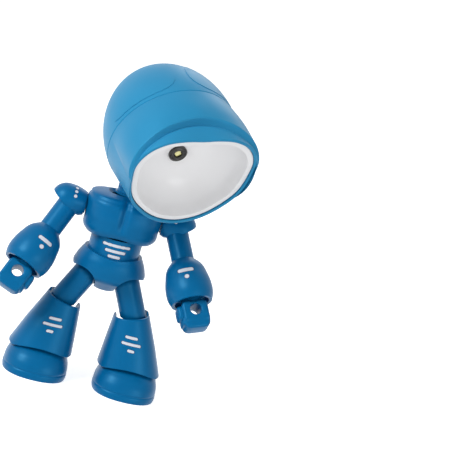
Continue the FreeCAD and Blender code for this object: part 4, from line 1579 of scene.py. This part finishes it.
    def make_hand(self) -> None:
        """The closed hand: the palm, a thumb over its inner side with a knuckle, and a wrist."""
        place = self.place @ shift(0, 0, -self.upper - self.gauntlet)
        inner = -self.sign * self.hand_wide / 2
        palm = grid_object("palm", self.palm_grid(), place, Wrap.BOTH)
        thumb_at, thumb_half = (inner - self.sign * 0.2, -0.2, -6.2), (2.4, 4.2, 4.0)
        thumb = self.rounded_block("thumb", thumb_at, thumb_half, place)
        knuckle_at, knuckle_half = (inner + self.sign * 1.6, 0.2, -10.9), (2.6, 4.6, 2.4)
        knuckle = self.rounded_block("knuckle", knuckle_at, knuckle_half, place)
        radius, height = (np.array([values]) for values in zip(*self.WRIST))
        ring = np.linspace(0, TURN, 64, endpoint=False)[:, None]
        wrist = grid_object("wrist", turned(Axis.Z, ring, radius, height), place)
        piece = joined(f"fist_{self.side}", [palm, thumb, knuckle, wrist])
        self.shop.hand_over(piece, BODY_BLUE, f"hand_{self.side}", f"hand_{self.side}")

    def rounded_block(
        self,
        name: str,
        centre: tuple[float, float, float],
        half: tuple[float, float, float],
        place: np.ndarray,
    ) -> bpy.types.Object:
        """A block with all corners rounded: |x/a|^4 + |y/b|^4 + |z/c|^4 = 1.

        Args:
            name: the block's name.
            centre: its middle.
            half: its half sizes a, b and c.
            place: the frame that it is in.

        Returns:
            The block.
        """
        angle = whole_turn(48)
        up = np.linspace(-math.pi / 2, math.pi / 2, 25)[None]
        x = signed_root(np.cos(angle)) * signed_root(np.cos(up))
        y = signed_root(np.sin(angle)) * signed_root(np.cos(up))
        z = signed_root(np.sin(up)) + angle * 0
        grid = np.stack([x * half[0], y * half[1], z * half[2]], -1) + np.array(centre)
        return grid_object(name, grid, place)

    def build(self) -> None:
        """Every piece of the arm."""
        self.make_cap()
        self.shop.dress({f"upper_arm_{self.side}": BODY_BLUE})
        self.make_gauntlet()
        self.make_prints()
        self.make_hand()


# Legs


@dataclass
class Leg:
    """One leg, in the body's frame."""

    shop: Workshop
    side: str
    squareness: float = 2.3
    hem: float = 13.6
    hem_soft: float = 0.25
    arch_radius: float = 40.0
    arch_out: float = 25.4
    arch_drop: float = 23.2
    guard_top: float = 44.0
    guard_wall: float = 1.6
    slant: float = 12.5
    slant_out: float = 19.7
    scoop_out: float = 19.9
    scoop_half: float = 9.8
    scoop_low: float = 34.4
    lip_deep: float = 1.4
    lip_soft: float = 0.45
    foot_squareness: float = 2.35
    foot_out: float = 25.5
    foot_front: float = 3.6
    foot_wide: float = 18.0
    foot_long: float = 18.6
    foot_high: float = 18.4
    foot_lean: float = 1.9
    groove_deep: float = 0.28
    groove_high: float = 3.9
    groove_wide: float = 0.42
    wall: float = 1.8
    lug_out: float = 25.2
    lug_half: tuple[float, float] = (3.1, 5.4)
    lug_low: float = 6.6
    bar_wide: float = 0.8

    # height, distance from the waist's axis, half width, half depth, shift back
    GUARD = (
        (11.0, 25.7, 18.5, 18.0, -0.8),
        (28.0, 22.8, 14.4, 14.6, -0.4),
        (50.0, 18.6, 8.4, 9.0, 0.0),
    )
    # the guard's upper edge from the outside in: drop, inset
    LIP = ((0.15, 0.12), (0.0, 0.45), (0.0, 0.8))
    # share of the shoe's height, share of its half sizes
    FOOT = (
        (0.0, 0.985), (0.05, 1.0), (0.22, 1.0), (0.5, 0.95), (0.68, 0.855), (0.84, 0.685),
        (0.95, 0.45), (1.0, 0.18),
    )
    # height and half length of each printed bar
    SHIN_BARS = ((34.5, 3.6), (31.0, 5.6), (27.5, 2.0))
    CARRIED = {
        "thigh": BODY_BLUE,
        "shin_core": BODY_BLUE,
        "knee_pin": STEEL,
        "ankle_pin": STEEL,
        "foot_weight": STEEL,
        "sole_plate": RUBBER,
    }

    def __post_init__(self) -> None:
        """Stand on the floor under the waist's axis."""
        self.sign = SIDES[self.side]
        self.place = self.shop.below_waist()

    def guard(self, angle: np.ndarray, z: np.ndarray, inset: float = 0.0) -> np.ndarray:
        """The shin guard: squared circles that grow and move outwards towards the hem, straight
        between three heights.

        Args:
            angle: the angle from the X axis.
            z: the height.
            inset: the distance under the outside.

        Returns:
            The points.
        """
        heights, *columns = zip(*self.GUARD)
        centre, wide, deep, back = (np.interp(z, heights, column) for column in columns)
        x, y = squared_circle(angle, wide - inset, deep - inset, self.squareness)
        return np.stack([x + self.sign * centre, y + back, z + x * 0], -1)

    def guard_ends(self, angle: np.ndarray) -> tuple[np.ndarray, np.ndarray]:
        """The hem's and the upper edge's height at each angle: the hem is arched in front and
        behind, and the upper edge is slanted and drops behind to free the knee. Both depend on
        the outline at their own height, so each is found in a few rounds.

        Args:
            angle: the angle from the X axis.

        Returns:
            The hem's heights and the upper edge's.
        """
        hem = np.full_like(angle, self.hem)
        for _ in range(3):
            x = self.guard(angle, hem)[..., 0]
            inside = self.arch_radius**2 - (x - self.sign * self.arch_out) ** 2
            hem = np.maximum(self.hem, np.sqrt(np.maximum(inside, 0.0)) - self.arch_drop)
        top = np.full_like(angle, self.guard_top)
        steepness = math.tan(math.radians(self.slant))
        for _ in range(4):
            spot = self.guard(angle, top)
            x, y = spot[..., 0], spot[..., 1]
            slant = self.guard_top + steepness * (self.sign * x - self.slant_out)
            beside = self.scoop_half - np.abs(x - self.sign * self.scoop_out)
            scoop = ramp(y, 0.0, 1.2) * ramp(beside, 0.0, 0.9)
            top = slant + (self.scoop_low - slant) * scoop
        return hem, top

    def make_guard(self) -> None:
        """The shin guard: outside, rounded upper edge, inside and hem, as one closed skin."""
        angle = whole_turn(240)
        hem, top = self.guard_ends(angle)
        wall, soft = self.guard_wall, self.hem_soft
        t = np.linspace(0.0, 1.0, 44)[None]
        outer = self.guard(angle, hem + soft + (top - hem - (soft + self.lip_soft)) * t)
        lip = (*self.LIP, (self.lip_deep, wall))
        edge = [self.guard(angle, top - drop, inset) for drop, inset in lip]
        lowest = top - self.lip_deep
        inner = self.guard(angle, lowest - (lowest - hem) * t, wall)
        hem_edge = [self.guard(angle, hem, wall), self.guard(angle, hem, soft)]
        grid = np.concatenate([outer, *edge, inner[:, 1:-1], *hem_edge], 1)
        piece = grid_object(f"guard_skin_{self.side}", grid, self.place, Wrap.BOTH)
        self.shop.hand_over(piece, BODY_BLUE, f"shin_{self.side}", f"shin_guard_{self.side}")

    def foot(self, angle: np.ndarray, share: np.ndarray, inset: float = 0.0) -> np.ndarray:
        """The shoe: squared circles that close towards the top, with a fine groove over the rim.

        Args:
            angle: the angle from the X axis.
            share: the share of the shoe's height.
            inset: the distance under the outside, which alone has the groove.

        Returns:
            The points.
        """
        out = through(*zip(*self.FOOT), share)
        thin = inset * np.minimum(1.0, out * 2)
        height = share * self.foot_high - inset * ramp(share, 0.4, 0.7)
        if inset == 0.0:
            from_groove = (height - self.groove_high) / self.groove_wide
            thin = thin + self.groove_deep * np.exp(-(from_groove**2))
        wide, deep = self.foot_wide * out - thin, self.foot_long * out - thin
        x, y = squared_circle(angle, wide, deep, self.foot_squareness)
        centre = -self.foot_front + self.foot_lean * share
        return np.stack([x + self.sign * self.foot_out, y + centre, height + x * 0], -1)

    def make_foot(self) -> None:
        """The shoe: from the crown down the outside and up the inside to the roof; cut for the
        shin's lug."""
        angle = whole_turn(180)
        share = np.concatenate([[0.0, 0.012, 0.03], np.linspace(0.05, 1.0, 90)])[None]
        outer = self.foot(angle, share)
        inner = self.foot(angle, share, self.wall)
        crown, roof = (
            skin[:, -1:].mean(0, keepdims=True) + np.zeros_like(skin[:, :1])
            for skin in (outer, inner)
        )
        grid = np.concatenate([crown, outer[:, ::-1], inner, roof], 1)
        piece = grid_object(f"shoe_skin_{self.side}", grid, self.place)
        ankle, (wide, deep) = self.sign * self.lug_out, self.lug_half
        slot = box_cutter((ankle - wide, -deep, self.lug_low), (ankle + wide, deep, 30), self.place)
        cut(piece, [slot])
        self.shop.hand_over(piece, BODY_BLUE, f"foot_{self.side}", f"foot_shell_{self.side}")

    def make_prints(self) -> None:
        """Three straight bars on the guard's front: a long one between two shorter ones."""
        for n, (height, half_long) in enumerate(self.SHIN_BARS, start=1):
            self.shop.print_bar(
                f"shin_bar_{n}_{self.side}", self.guard, (-math.pi / 2, height),
                (half_long, self.bar_wide), self.place, f"shin_{self.side}", 1.0,
            )

    def build(self) -> None:
        """Every piece of the leg."""
        self.make_guard()
        self.make_foot()
        self.make_prints()
        self.shop.dress({f"{node}_{self.side}": look for node, look in self.CARRIED.items()})


# Stage


@dataclass
class Stage:
    """The floor, the lamps, the world and the camera."""

    centre: Vector
    azimuth: float = -4.0
    elevation: float = 13.0
    roll: float = 15.5
    distance: float = 0.95
    aim_across: float = 62.0
    aim_up: float = -8.5
    frame_wide: float = 258.5
    film_wide: float = 36.0
    floor_half: float = 6.0
    floor_glow: float = 0.70
    world_seen: float = 0.67
    world_light: float = 0.33

    # name, place in metres, size and power
    LAMPS = (
        ("key", (-0.90, -0.60, 0.90), 0.60, 14.0),
        ("fill", (0.75, -1.05, 0.10), 0.70, 6.0),
        ("back", (0.30, 0.95, 0.80), 0.60, 2.0),
    )

    def make_camera(self) -> None:
        """The camera: on the object's bearing, rolled so that the top leans to the right, and
        turned a little so that the object stands in the left half of the frame."""
        a, e, r = (math.radians(v) for v in (self.azimuth, self.elevation, self.roll))
        back = Vector((math.sin(a) * math.cos(e), -math.cos(a) * math.cos(e), math.sin(e)))
        right = Vector((0, 0, 1)).cross(back).normalized()
        up = back.cross(right)
        right, up = (
            right * math.cos(r) + up * math.sin(r),
            up * math.cos(r) - right * math.sin(r),
        )
        spot = self.centre + back * self.distance
        target = self.centre + (right * self.aim_across + up * self.aim_up) * MM
        back = (spot - target).normalized()
        right = (right - back * right.dot(back)).normalized()
        up = back.cross(right)
        data = bpy.data.cameras.new("camera")
        data.sensor_width = self.film_wide
        data.lens = self.film_wide * self.distance / (self.frame_wide * MM)
        data.clip_start, data.clip_end = 0.05, 20.0
        camera = bpy.data.objects.new("camera", data)
        turned = Matrix((right, up, back)).transposed().to_4x4()
        camera.matrix_world = Matrix.Translation(spot) @ turned
        bpy.context.scene.collection.objects.link(camera)
        bpy.context.scene.camera = camera

    def make_floor(self) -> None:
        """A wide pale floor that looks white to the camera and keeps the object's shadow."""
        half = self.floor_half
        mesh = bpy.data.meshes.new("floor")
        corners = [(-half, -half, 0), (half, -half, 0), (half, half, 0), (-half, half, 0)]
        mesh.from_pydata(corners, [], [(0, 1, 2, 3)])
        floor = new_object("floor", mesh)
        material = bpy.data.materials.new("floor_paper")
        material.use_nodes = True
        shader = material.node_tree.nodes["Principled BSDF"]
        shader.inputs["Base Color"].default_value = (0.90, 0.90, 0.90, 1)
        shader.inputs["Roughness"].default_value = 0.9
        nodes, links = material.node_tree.nodes, material.node_tree.links
        seen = straight_sight(nodes, links)
        glow = math_node(nodes, links, "MULTIPLY", seen, self.floor_glow)
        links.new(glow, shader.inputs["Emission Strength"])
        shader.inputs["Emission Color"].default_value = (1, 1, 1, 1)
        floor.data.materials.append(material)

    def make_world(self) -> None:
        """An even pale surround: white where the camera sees it, softer as light."""
        world = bpy.data.worlds.new("surround")
        world.use_nodes = True
        bpy.context.scene.world = world
        nodes, links = world.node_tree.nodes, world.node_tree.links
        shader = nodes["Background"]
        seen, light = straight_sight(nodes, links), self.world_light
        strength = math_node(nodes, links, "MULTIPLY_ADD", seen, self.world_seen, light)
        links.new(strength, shader.inputs["Strength"])
        shader.inputs["Color"].default_value = (1, 1, 1, 1)

    def make_lamps(self) -> None:
        """A large soft key from the upper left, a fill from the right and a low rim light."""
        for name, at, size, power in self.LAMPS:
            data = bpy.data.lights.new(name, "AREA")
            data.size = size
            data.energy = power
            lamp = bpy.data.objects.new(name, data)
            lamp.location = Vector(at)
            lamp.rotation_mode = "QUATERNION"
            aim = Vector(at) - self.centre
            lamp.rotation_quaternion = aim.to_track_quat("Z", "Y")
            bpy.context.scene.collection.objects.link(lamp)

    def build(self) -> None:
        """The whole stage."""
        bpy.context.scene.view_settings.view_transform = "Standard"
        self.make_camera()
        self.make_floor()
        self.make_world()
        self.make_lamps()


def main() -> None:
    """Load the frame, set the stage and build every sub-assembly."""
    logging.basicConfig(level=logging.INFO, format="%(name)s: %(message)s")
    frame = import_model()
    shop = Workshop(frame)
    middle = shop.below_waist() @ shift(0, 0, HALF_HEIGHT)
    Stage(Vector(middle[:3, 3]) * MM).build()
    Head(shop).build()
    Torso(shop).build()
    for side in SIDES:
        Arm(shop, side, SWING[side]).build()
    for side in SIDES:
        Leg(shop, side).build()


if __name__ == "__main__":
    main()
